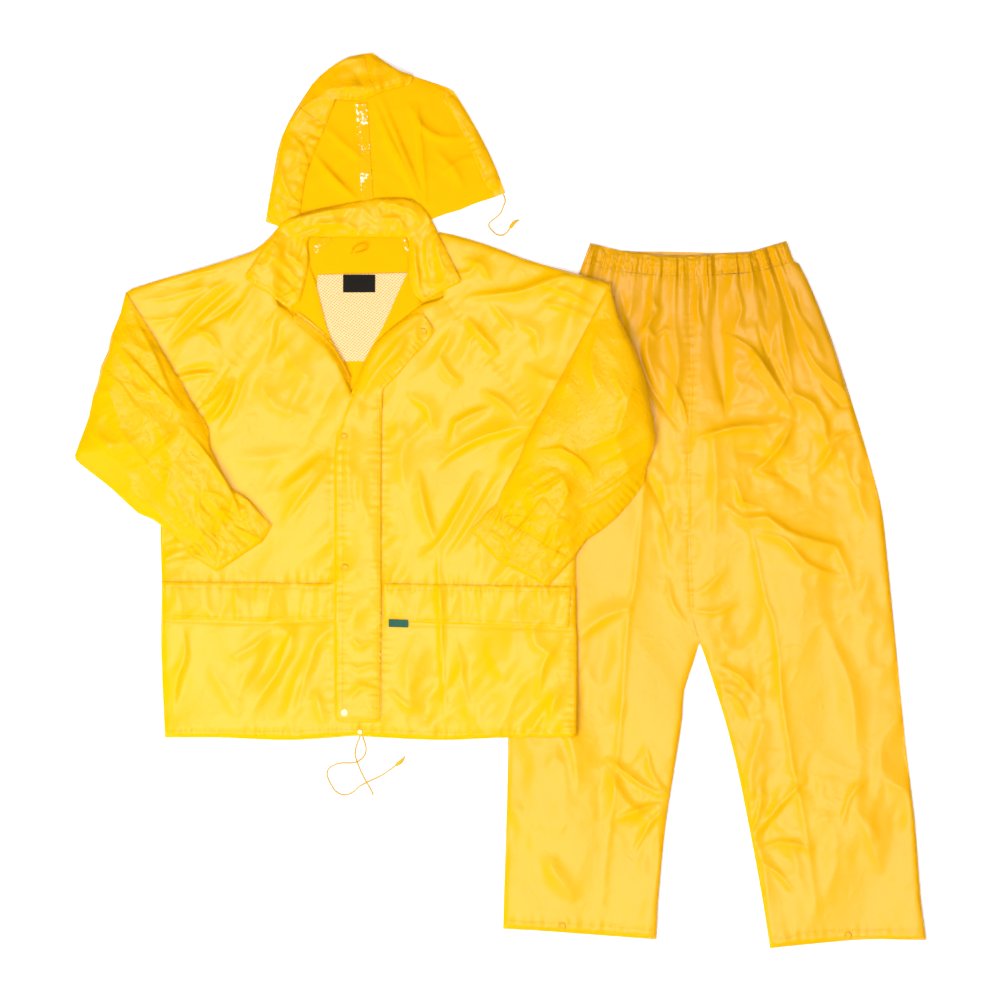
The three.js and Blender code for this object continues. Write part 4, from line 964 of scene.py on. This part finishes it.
# Jacket fronts and the front halves of the sleeves: four panels of the coated nylon joined by raglan
# seams. They are lofted over the back and full of soft creases from having been packed.
LEFT_RAGLAN = [(-357, 314), (-401, 255), (-430, 220), (-460, 179), (-486, 143), (-537, 82)]
RIGHT_RAGLAN = [(-92, 325), (-63, 286), (-31, 247), (-7, 215), (23, 176), (57, 131), (114, 68)]
JACKET_FOLDS = [
    ([(-419, 353), (-477, 303), (-534, 245)], 10, -5, 0.3, 0.3),
    ([(-398, 337), (-423, 315), (-468, 285), (-502, 263)], 8, -4, -0.3, 0.3),
    ([(-437, 355), (-491, 315), (-540, 261)], 8, 3.5, 0.4, 0.8),
    ([(-522, 200), (-491, 210), (-452, 211)], 7, -4, 0.3, 0.5),
    ([(-520, 193), (-486, 201), (-452, 203)], 5, 3, 0.3, 0.9),
    ([(-495, 276), (-464, 264), (-448, 240)], 8, 3.5, 0.4, 0.8),
    ([(-425, 195), (-443, 152), (-470, 123)], 8, 4.5, -0.5, 0.8),
    ([(-437, 195), (-455, 166), (-486, 143)], 6, 3, 0.4, 0.8),
    ([(-576, 319), (-522, 326), (-473, 342)], 7, 2.4, 0.3, 0.8),
    ([(-576, 285), (-540, 288), (-500, 297)], 7, 2.4, 0.3, 0.8),
    ([(-355, 290), (-358, 252), (-373, 220)], 10, -3, 0.3, 0.4),
    ([(-385, 350), (-400, 337), (-425, 303), (-440, 276)], 14, 3.5, 0.4, 0.4),
    ([(-427, 196), (-443, 159), (-470, 122)], 13, 4, -0.4, 0.5),
    ([(-405, 205), (-425, 150), (-450, 110)], 11, 3, 0.4, 0.5),
    ([(-560, 345), (-500, 360), (-440, 372)], 12, 2.5, 0.4, 0.5),
    ([(-540, 330), (-480, 338), (-430, 345)], 9, 1.8, 0.3, 0.6),
    ([(-270, 66), (-304, 25), (-348, -34)], 20, 4.5, -0.5, 0.4),
    ([(-273, 81), (-315, 42), (-353, 12)], 16, 3, 0.4, 0.4),
    ([(-390, 190), (-360, 150), (-300, 130)], 20, 2.2, 0, 0.2),
    ([(-350, 250), (-330, 215), (-300, 190)], 18, 2.2, 0.3, 0.2),
    ([(-300, 95), (-360, 70), (-430, 68)], 24, 2, 0, 0.1),
    ([(-470, 0), (-420, -20), (-380, -60)], 24, 2.4, 0.2, 0.2),
    ([(-292, -223), (-312, -280), (-329, -340)], 16, 4, 0.4, 0.4),
    ([(-328, -198), (-345, -235), (-356, -266)], 12, 3, 0.4, 0.4),
    ([(-364, -206), (-395, -232), (-430, -252)], 14, 2.5, 0.3, 0.3),
    ([(-507, -201), (-504, -247), (-516, -286), (-523, -340)], 14, 3.5, -0.5, 0.4),
    ([(-300, -300), (-290, -330), (-285, -360)], 14, 2.2, 0, 0.3),
    ([(-470, -260), (-440, -310), (-420, -350)], 22, 2, 0.2, 0.2),
    ([(-542, -97), (-520, -85), (-499, -81)], 8, 2.5, 0.3, 0.6),
    ([(-542, -102), (-510, -97), (-483, -97)], 8, 2.2, 0.3, 0.6),
    ([(-540, -60), (-515, -45), (-500, -40)], 8, 2, 0.3, 0.6),
    ([(-540, -75), (-500, -62), (-470, -40)], 9, 2.4, 0.3, 0.5),
    ([(-60, 322), (-43, 327), (28, 335), (79, 353), (116, 358), (170, 338)], 17, 6.5, -0.5, 0.5),
    ([(60, 345), (103, 332), (150, 308)], 10, 3.5, 0.4, 0.5),
    ([(62, 318), (103, 306), (148, 288)], 9, 2.6, 0.4, 0.5),
    ([(-56, 295), (-30, 265), (-1, 233)], 16, 4, -0.5, 0.4),
    ([(-17, 316), (5, 290), (23, 268)], 12, 3, 0.4, 0.4),
    ([(-60, 385), (-30, 375), (-18, 350)], 11, 4, 0.4, 0.5),
    ([(-80, 360), (-50, 365), (-25, 392)], 10, 3, -0.3, 0.4),
    ([(20, 290), (55, 270), (60, 230)], 14, 2.5, 0.3, 0.3),
    ([(35, 220), (70, 195), (110, 190)], 14, 2.5, 0, 0.3),
    ([(55, 121), (12, 112), (-30, 100), (-75, 76), (-104, 49)], 20, 6, -0.5, 0.4),
    ([(-12, 150), (-42, 140), (-72, 124), (-84, 86)], 16, 4.5, 0.4, 0.4),
    ([(-33, 177), (0, 160), (29, 132)], 15, 3.5, -0.4, 0.4),
    ([(80, 100), (40, 92), (0, 60)], 14, 3, 0.4, 0.4),
    ([(-35, 49), (-68, -17), (-99, -66), (-132, -95)], 19, 5, 0.5, 0.4),
    ([(-1, 44), (-30, -5), (-59, -54), (-89, -95)], 14, 4, 0.4, 0.4),
    ([(20, 20), (-10, -30), (-40, -80)], 14, 3, 0.4, 0.3),
    ([(-132, 49), (-122, -10), (-104, -68)], 17, 4, -0.4, 0.3),
    ([(-150, 170), (-120, 150), (-105, 110)], 16, 3, 0.4, 0.3),
    ([(-150, 120), (-160, 60), (-150, 10)], 20, 2.5, 0, 0.2),
    ([(-100, 235), (-80, 200), (-60, 190)], 15, 3, -0.3, 0.3),
    ([(-98, -63), (-100, -117), (-97, -186), (-94, -259), (-88, -357)], 10, 3.2, 0.3, 0.9),
    ([(40, -160), (55, -230), (95, -260)], 18, 2.5, 0.3, 0.3),
    ([(100, -215), (70, -260), (60, -320)], 16, 3.5, -0.4, 0.4),
    ([(108, -290), (85, -320), (75, -365)], 13, 3.2, 0.4, 0.4),
    ([(-20, -220), (-10, -260), (10, -290)], 22, 2.2, 0, 0.2),
    ([(-130, -210), (-150, -270), (-140, -340)], 22, 2, 0.2, 0.2),
    ([(-70, -220), (-60, -290), (-50, -350)], 20, 2.6, -0.4, 0.3),
    ([(-180, -300), (-150, -330), (-120, -335)], 12, 2, 0, 0.3),
]
JACKET_SEAMS = [
    (LEFT_RAGLAN, 0.3, 0.35, 13, 9),
    (RIGHT_RAGLAN, 0.3, 0.5, 13, 10),
    ([(-540, -367), (-400, -370), (-227, -366), (-100, -371), (119, -368)], 0.5, 0.7, 17, 9),
    ([(112, -111), (113, -240), (114, -375)], 0.5, 1.0, 12, 12),
    ([(-540, -127), (-400, -129), (-268, -129)], 0.4, 0.9, 17, 11),
    ([(-187, -130), (-98, -132), (114, -134)], 0.4, 0.9, 17, 11),
    ([(-543, -191), (-400, -195), (-268, -193)], 1.1, 0, 24, 9),
    ([(-187, -196), (17, -202), (112, -206)], 1.1, 0, 24, 9),
    ([(-272, 80), (-272, -350)], 0.3, 0.6, 16, 8),
    ([(-184, 130), (-184, -130), (-184, -350)], 0.3, 0.7, 14, 8),
]
PULL = 0.95  # direction in which the fronts are pulled, in radians from the east
uneven = np.clip(0.6 + 0.5 * crumple(13, 0.24), 0.15, 1.5)
jacket_crush = MM * (
    1.3 * crumple(11, 0.15, 2.0, PULL)
    + uneven * (1.0 * (0.8 - np.abs(crumple(12, 0.075, 2.6, PULL))) + 0.22 * crumple(14, 0.03, 2.2, PULL))
)
front_nodes = ["front_left", "front_right", "sleeve_left_front", "sleeve_right_front"]
jacket_front = lay(
    cover_of(*[outline_of(node) for node in front_nodes]), under=[jacket_back, lining], loft=5, reach=7,
    rim=0.3, soft=20, folds=JACKET_FOLDS, seams=JACKET_SEAMS, crush=jacket_crush + 0.8 * MM,
)
for node in front_nodes:
    panel(node, jacket_front, jacket_cloth)
stitched("jacket_stitching", jacket_front, [
    JACKET_SEAMS[2][0], JACKET_SEAMS[3][0],
    moved(JACKET_SEAMS[3][0], 4), moved(JACKET_SEAMS[4][0], 0, 1.5), moved(JACKET_SEAMS[5][0], 0, 1.5),
])

# Facings: strips of the cloth, matt side in, that finish both edges of the open neck, and the left half
# of the zip with its crinkled tape and moulded teeth.
facings = []
for node in ("facing_left", "facing_right"):
    facing = lay(cover_of(outline_of(node)), under=[jacket_back, lining], loft=1.5, reach=8, soft=4)
    panel(node, facing, inner_cloth)
    facings.append(facing)
facing_left, facing_right = facings
ZIP_EDGE = [(-335, 300), (-303, 279), (-272, 250), (-256, 226), (-240, 194)]
zip_outline = outline_of("zip_tape")
zip_tape = lay(
    cover_of(zip_outline), under=[facing_left, jacket_front], loft=1, reach=5,
    seams=[(ZIP_EDGE, 0.3, 0.9, 9, 7)], soft=3,
)
panel("zip_tape", zip_tape, jacket_cloth)
bm = bmesh.new()
TOOTH = (1.1 * MM, 3.2 * MM, 1.3 * MM)
stops = [Vector(spot) for spot in bent(in_metres(ZIP_EDGE), span=2.2 * MM)]
for a, b in zip(stops, stops[1:]):
    rise = float(sampled(zip_tape["top"], a.x, a.y)) + TOOTH[2] / 2
    turn = Matrix.Rotation(math.atan2(b.y - a.y, b.x - a.x), 4, "Z")
    bmesh.ops.create_cube(
        bm, size=1, matrix=Matrix.Translation((a.x, a.y, rise)) @ turn @ Matrix.Diagonal((*TOOTH, 1)),
    )
mesh = bpy.data.meshes.new("zip_teeth")
bm.to_mesh(mesh)
bm.free()
finished("zip_teeth", mesh, moulded)

# Collar: two halves of doubled cloth that meet at the centre back, turned out and lying open. It is sewn
# into the neck seam, and here it is one piece, because nothing of the join shows.
COLLAR_FOLDS = [
    ([(-345, 440), (-320, 452), (-280, 462), (-225, 470)], 12, 4, -0.4, 0.4),
    ([(-340, 420), (-300, 440), (-250, 440), (-225, 432)], 12, 4.5, 0.4, 0.5),
    ([(-325, 400), (-318, 420), (-290, 432)], 9, 3.5, 0, 0.5),
    ([(-335, 415), (-340, 395), (-325, 380)], 8, 3, 0.3, 0.5),
    ([(-318, 405), (-328, 385), (-312, 370)], 8, 3, -0.3, 0.5),
    ([(-375, 395), (-345, 375), (-330, 350)], 12, 2.5, 0.4, 0.3),
    ([(-345, 350), (-330, 330), (-322, 318)], 8, 2.2, 0, 0.5),
    ([(-200, 474), (-170, 472), (-140, 462), (-124, 440)], 12, 3.5, 0.4, 0.4),
    ([(-195, 450), (-165, 452), (-150, 430)], 12, 3.5, -0.4, 0.4),
    ([(-165, 475), (-155, 455), (-160, 440)], 8, 2.5, 0.3, 0.5),
    ([(-140, 425), (-135, 380), (-128, 330)], 10, 4.5, -0.5, 0.5),
    ([(-120, 425), (-118, 380), (-110, 345)], 9, 3, 0.4, 0.5),
    ([(-105, 420), (-95, 380), (-80, 360)], 9, 2.6, -0.3, 0.5),
    ([(-130, 350), (-105, 345), (-80, 355)], 8, 2.6, 0.3, 0.5),
]
COLLAR_SEAMS = [
    ([(-356, 420), (-403, 357), (-370, 339), (-338, 315)], 0.5, 0.5, 10, 6),
    ([(-112, 448), (-80, 376), (-70, 354), (-96, 341), (-123, 325)], 0.5, 0.6, 10, 6),
]
collar_crush = MM * (3.4 * facets(31, 0.036, 1.7, 0.9) + 0.2 * crumple(32, 0.022))
neck_layers = [hood_back, hood_front, jacket_back, jacket_front, *facings, lining, zip_tape]
collar = lay(
    cover_of(outline_of("collar_left"), outline_of("collar_right")), under=neck_layers, loft=3.5, reach=7,
    rim=0.3, folds=COLLAR_FOLDS, seams=COLLAR_SEAMS, crush=collar_crush + 0.5 * MM, soft=8,
)
COLLAR_BACK = -212 * MM


def half_collar(node):
    """A collar half's edge without its centre back, from one end of that to the other."""
    corners = outline_of(node)
    middle = [abs(x - COLLAR_BACK) < 1 * MM for x, y in corners]
    start = next(i for i in range(len(corners)) if middle[i - 1] and not middle[i])
    turned_round = corners[start:] + corners[:start]
    return [spot for spot in turned_round if abs(spot[0] - COLLAR_BACK) > 1 * MM]


whole_collar = half_collar("collar_left") + half_collar("collar_right")
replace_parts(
    panel("collar_left", collar, jacket_cloth, 10, whole_collar),
    "collar_left", "collar_right",
)
stitched("collar_stitching", collar, [COLLAR_SEAMS[0][0], COLLAR_SEAMS[1][0]])

# Pocket flaps: two wide single flaps, caught in a seam along their top and free below, each a little
# rippled along both edges. A plain woven tag is folded into the end of the right one.
POCKET_SEAMS = [
    ([(-540, -139), (-400, -141), (-268, -142)], 0.3, 0.7, 19, 10),
    ([(-187, -142), (-98, -144), (110, -146)], 0.3, 0.8, 16, 10),
    ([(-541, -183), (-400, -187), (-268, -185)], 0.4, 0.5, 24, 9),
    ([(-187, -188), (17, -194), (107, -198)], 0.4, 0.5, 24, 9),
]
flap_crush = MM * (0.5 * (0.8 - np.abs(crumple(41, 0.06, 1.6, 1.57))))
pocket_left_outline = outline_of("pocket_flap_left")
pocket_right_outline = outline_of("pocket_flap_right")
pocket_folds = [([(-98, -137), (-97, -165), (-96, -196)], 9, 3, 0.3, 0.9)]
BANDS = [
    # east, width to each side, height
    (-512, 14, 1.6), (-470, 9, 1.2), (-443, 12, -2.0), (-424, 7, 1.4), (-398, 9, -1.6), (-372, 7, 1.6),
    (-343, 10, -1.8), (-316, 8, 1.2), (-290, 12, 1.4), (-160, 12, 1.4), (-132, 8, -1.2), (-60, 12, -1.8),
    (-34, 8, 1.4), (0, 12, 1.2), (28, 8, -1.4), (62, 13, 1.8), (92, 8, -1.2),
]
BAND_SHARE = 0.7  # of the heights above
for number, (x, half, high) in enumerate(BANDS):
    slant = 5 * math.sin(2.3 * number)
    band = [(x - slant, -118), (x, -160), (x + 1.6 * slant, -215)]
    pocket_folds.append((band, half, BAND_SHARE * high, 0.2, 0.3))
pockets = lay(
    cover_of(pocket_left_outline, pocket_right_outline), under=[jacket_front], loft=1.1, reach=5, rim=0.5,
    seams=POCKET_SEAMS, folds=pocket_folds, crush=flap_crush + 0.3 * MM, soft=3,
)
for node in ("pocket_flap_left", "pocket_flap_right"):
    side = node.rsplit("_", 1)[1]
    panel(node, pockets, jacket_cloth)
stitched("pocket_stitching", pockets, [route for route, *_ in POCKET_SEAMS])
green_weave = surface("tag_weave", (0.02, 0.11, 0.07), 0.6)
threads = placed(green_weave.node_tree, "ShaderNodeTexWave", Scale=300.0, Distortion=0.6)
coloured(green_weave, threads.outputs["Fac"], (0.010, 0.055, 0.035), (0.030, 0.16, 0.10))
tag = lay(cover_of(outline_of("pocket_tag")), under=[pockets, jacket_front], soft=2)
panel("pocket_tag", tag, green_weave)

# Storm flap: a long doubled strip over the zip, with its top corner turned back along the lapel. Close
# rows of stitching down both edges pucker it.
STORM_FOLDS = [
    ([(-130, 285), (-165, 250), (-200, 205), (-226, 160)], 13, 3.5, 0.4, 0.3),
    ([(-150, 262), (-165, 235), (-190, 215)], 10, 2.5, -0.3, 0.3),
    ([(-130, 290), (-138, 270), (-130, 250)], 7, 2.2, 0.3, 0.5),
    ([(-120, 285), (-112, 275), (-118, 262)], 7, 1.8, 0.3, 0.5),
    ([(-238, 130), (-245, 60), (-240, -20)], 16, 2, 0.3, 0.2),
    ([(-215, 60), (-225, 20), (-210, -40)], 14, 1.8, 0.3, 0.2),
    ([(-240, -220), (-225, -235), (-205, -225)], 10, 2, 0.3, 0.3),
    ([(-245, -260), (-230, -270), (-200, -262)], 10, 1.8, 0, 0.3),
    ([(-245, -320), (-225, -300), (-200, -298)], 9, 2.4, 0.3, 0.4),
]
STORM_SEAMS = [
    ([(-198, 170), (-197, 80), (-197, -130), (-198, -350)], 0.4, 0.8, 12, 10),
    ([(-253, 88), (-253, -130), (-253, -350)], 0.4, 0.8, 14, 9),
    ([(-262, -349), (-197, -350)], 0.5, 0.2, 11, 4),
    ([(-112, 272), (-128, 255), (-145, 234), (-172, 203), (-194, 180)], 0.6, 0.8, 10, 8),
    ([(-131, 298), (-110, 272)], 0.5, 0.3, 10, 5),
    ([(-205, 245), (-226, 205), (-243, 165), (-262, 100)], 0.4, 0.6, 12, 7),
]
storm_outline = outline_of("storm_flap")
storm = lay(
    cover_of(storm_outline), under=[jacket_front, facing_right, pockets], loft=2.2, reach=10,
    folds=STORM_FOLDS, seams=STORM_SEAMS, crush=0.8 * flap_crush + 0.4 * MM, soft=6,
)
panel("storm_flap", storm, jacket_cloth)
stitched("storm_stitching", storm, [
    STORM_SEAMS[0][0], moved(STORM_SEAMS[0][0], 4), STORM_SEAMS[1][0], STORM_SEAMS[2][0],
    STORM_SEAMS[3][0], STORM_SEAMS[4][0],
])

# Turned sleeves: each sleeve is folded back over the front along its outer edge, so its two walls lie
# one on the other with the wrist pointing down and in. Elastic gathers each wrist.
LEFT_TURN_FOLDS = [
    ([(-590, 300), (-552, 230), (-530, 178), (-500, 138)], 12, 4.5, -0.5, 0.5),
    ([(-606, 245), (-554, 188), (-504, 138)], 10, 5, -0.6, 0.9),
    ([(-509, 122), (-464, 67), (-430, 13), (-413, -39)], 9, 5.5, -0.6, 0.9),
    ([(-571, 67), (-536, 96), (-508, 120)], 9, 4.5, 0.5, 0.9),
    ([(-635, 148), (-599, 98), (-567, 58), (-532, 13)], 9, 3.5, 0.5, 0.9),
    ([(-603, 51), (-581, 62), (-565, 69)], 9, 3, 0.3, 0.8),
    ([(-536, 13), (-531, 44), (-554, 58)], 9, 3, -0.3, 0.8),
    ([(-486, 24), (-484, -10), (-455, -39)], 6, 3.5, 0.4, 0.9),
    ([(-437, -37), (-403, -53), (-379, -65)], 6, 4, -0.5, 0.9),
    ([(-536, -28), (-497, -46), (-484, -24)], 6, 3, 0.4, 0.9),
    ([(-495, -82), (-477, -55), (-455, -100)], 6, 3, 0.4, 0.9),
    ([(-477, 13), (-450, 8), (-432, -10)], 6, 3, 0.4, 0.9),
    ([(-473, -28), (-446, -15), (-419, -24)], 6, 3, -0.4, 0.9),
    ([(-621, 263), (-594, 220), (-554, 166)], 11, 3, 0.4, 0.6),
    ([(-642, 213), (-608, 184), (-581, 143)], 12, 3, -0.4, 0.6),
    ([(-662, 116), (-626, 80), (-599, 53)], 12, 3, 0.4, 0.6),
    ([(-597, 17), (-554, -15), (-509, -66)], 6, 2.6, 0.4, 0.8),
]
RIGHT_TURN_FOLDS = [
    ([(54, 78), (95, 84), (131, 61), (150, 30)], 11, 5, -0.5, 0.8),
    ([(37, 0), (77, 24), (106, 42)], 8, 6, 0.5, 0.9),
    ([(35, 13), (66, 37), (95, 52)], 6, 3, 0.3, 0.9),
    ([(11, -66), (42, -30), (70, 7)], 8, 5, -0.5, 0.9),
    ([(126, -4), (182, 32), (237, 75)], 8, 3.5, 0.4, 0.9),
    ([(117, -18), (157, 1), (201, 32)], 6, 3, 0.4, 0.9),
    ([(95, 42), (107, 13), (95, -11)], 7, 3, 0.4, 0.9),
    ([(-3, -5), (28, -16), (47, -13)], 6, 3, 0.3, 0.9),
    ([(-1, -30), (23, -25), (42, -30)], 6, 3, -0.3, 0.9),
    ([(-20, -49), (4, -64), (11, -83)], 6, 3, 0.3, 0.9),
    ([(71, -44), (95, -30), (119, -40)], 6, 2.6, 0.4, 0.9),
    ([(66, -64), (90, -73), (109, -64)], 6, 2.6, -0.4, 0.9),
    ([(37, -92), (71, -78), (105, -92)], 6, 2.4, 0.4, 0.9),
    ([(157, 278), (143, 225), (153, 172)], 14, 4, 0.5, 0.5),
    ([(177, 210), (196, 167), (182, 148)], 12, 3, 0.4, 0.5),
    ([(95, 167), (109, 196), (117, 225)], 12, 3, -0.4, 0.5),
    ([(129, 81), (177, 100), (220, 129)], 11, 2.6, 0.4, 0.6),
    ([(153, 56), (191, 76), (234, 100)], 9, 2.4, 0.4, 0.7),
    ([(215, 200), (200, 150), (180, 90)], 18, 3.5, 0.4, 0.3),
]
LEFT_WRIST_LINE = [(-404, 3), (-448, -43), (-493, -89)]
RIGHT_WRIST_LINE = [(118, -93), (50, -54), (-20, -17)]
turn_seams = [
    ([(-640, 150), (-590, 90), (-535, 20), (-490, -60)], 0.6, 0.7, 14, 9),
    ([(30, 60), (60, 20), (95, -20), (130, -50)], 0.4, 0.8, 14, 10),
    ([(228, 35), (190, -8), (140, -56)], 0.6, 1.2, 12, 14),
    (LEFT_WRIST_LINE, 0.3, 0.8, 11, 8),
    (RIGHT_WRIST_LINE, 0.3, 0.8, 11, 8),
    ([(0, -84), (40, -108), (72, -126)], 0.6, 0.4, 9, 6),
    ([(-382, -52), (-420, -78), (-452, -100)], 0.6, 0.4, 9, 6),
]
wrist_gathers = np.zeros(east.shape)
for wrist in (LEFT_WRIST_LINE, RIGHT_WRIST_LINE):
    gathered(wrist_gathers, wrist, [(9, 0.7, 24), (18, 1.2, 34), (37, 1.4, 60)], 120)
crushed_wrists = round_spot(-450, -30, 80) + round_spot(60, -30, 75)
crushed_left = round_spot(-570, 140, 150)
TURNED = [
    # side, folds, seam round the end of the wrist, row of stitches along its elastic
    ("left", LEFT_TURN_FOLDS, turn_seams[6][0], moved(LEFT_WRIST_LINE, 3, -2)),
    ("right", RIGHT_TURN_FOLDS, turn_seams[5][0], moved(RIGHT_WRIST_LINE, -2, -4)),
]
PUFF = 9 * MM  # how far the middle of a turned sleeve stands up
turn_crush = MM * (
    1.0 * (0.8 - np.abs(crumple(51, 0.095, 2.2, 2.2)))
    + (1.5 + 4.5 * crushed_left) * facets(54, 0.06, 2.2, 2.2)
    + (0.4 + 1.0 * crushed_left) * facets(55, 0.02, 2.0, 2.4)
    + crushed_wrists * (5.5 * facets(52, 0.036, 1.5, 2.0) + 1.4 * facets(53, 0.018, 1.6, 2.4))
)
for side, folds, wrist_end, wrist_row in TURNED:
    under = f"sleeve_{side}_turned_under"
    top = f"sleeve_{side}_turned_top"
    cuff = f"cuff_{side}"
    below = [trouser_back, trouser_front, jacket_back, jacket_front, pockets]
    turned_under = lay(cover_of(outline_of(under)), under=below, loft=1, soft=14)
    puffed = PUFF * np.clip(blurred(cover_of(outline_of(top)), 50 * MM) * 2 - 1, 0, 1) ** 0.8
    turned_top = lay(
        cover_of(outline_of(top), outline_of(cuff)), under=[turned_under], loft=3, reach=6, rim=0.3,
        folds=folds, seams=turn_seams, crush=turn_crush + wrist_gathers + puffed,
    )
    panel(under, turned_under, jacket_cloth, finer=3)
    panel(top, turned_top, crushed_shaded_cloth, finer=9)
    panel(cuff, turned_top, crushed_shaded_cloth, finer=9)
    stitched(f"wrist_stitching_{side}", turned_top, [wrist_end, wrist_row])

# Press studs: moulded caps with a rolled rim and a dished middle, pressed through the storm flap and
# the trouser hems. The eyelet at the hem lets the drawcord out.
pale_stud = surface("pale_stud", (0.92, 0.78, 0.45), 0.35)
grain = placed(pale_stud.node_tree, "ShaderNodeTexNoise", Scale=200.0, Detail=2.0)
raised(pale_stud, grain.outputs["Fac"], 0.25, 0.2 * MM)
STUDS = [
    # node, layer it is on, material, radius in millimetres
    ("stud_neck", storm, moulded, 6), ("stud_chest", storm, moulded, 6),
    ("stud_waist", storm, moulded, 6), ("stud_hem", storm, pale_stud, 6),
    ("stud_ankle_left", trouser_front, moulded, 6), ("stud_ankle_right", trouser_front, moulded, 6),
    ("eyelet", jacket_front, pale_stud, 4),
]
UP = (0, 0, 1)
for node, made, material, radius in STUDS:
    low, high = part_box(node)
    x, y = (low.x + high.x) / 2, (low.y + high.y) / 2
    base = float(sampled(made["top"], x, y))
    profile = [(radius, 0.0), (radius, 0.9), (radius - 0.5, 1.7), (radius - 1.4, 2.0), (radius - 2.2, 1.5),
               (radius - 2.6, 1.3)]
    rings = [((x, y, base + rise * MM), across * MM, UP) for across, rise in profile]
    turned(f"{node}_cap", rings, material, [node])
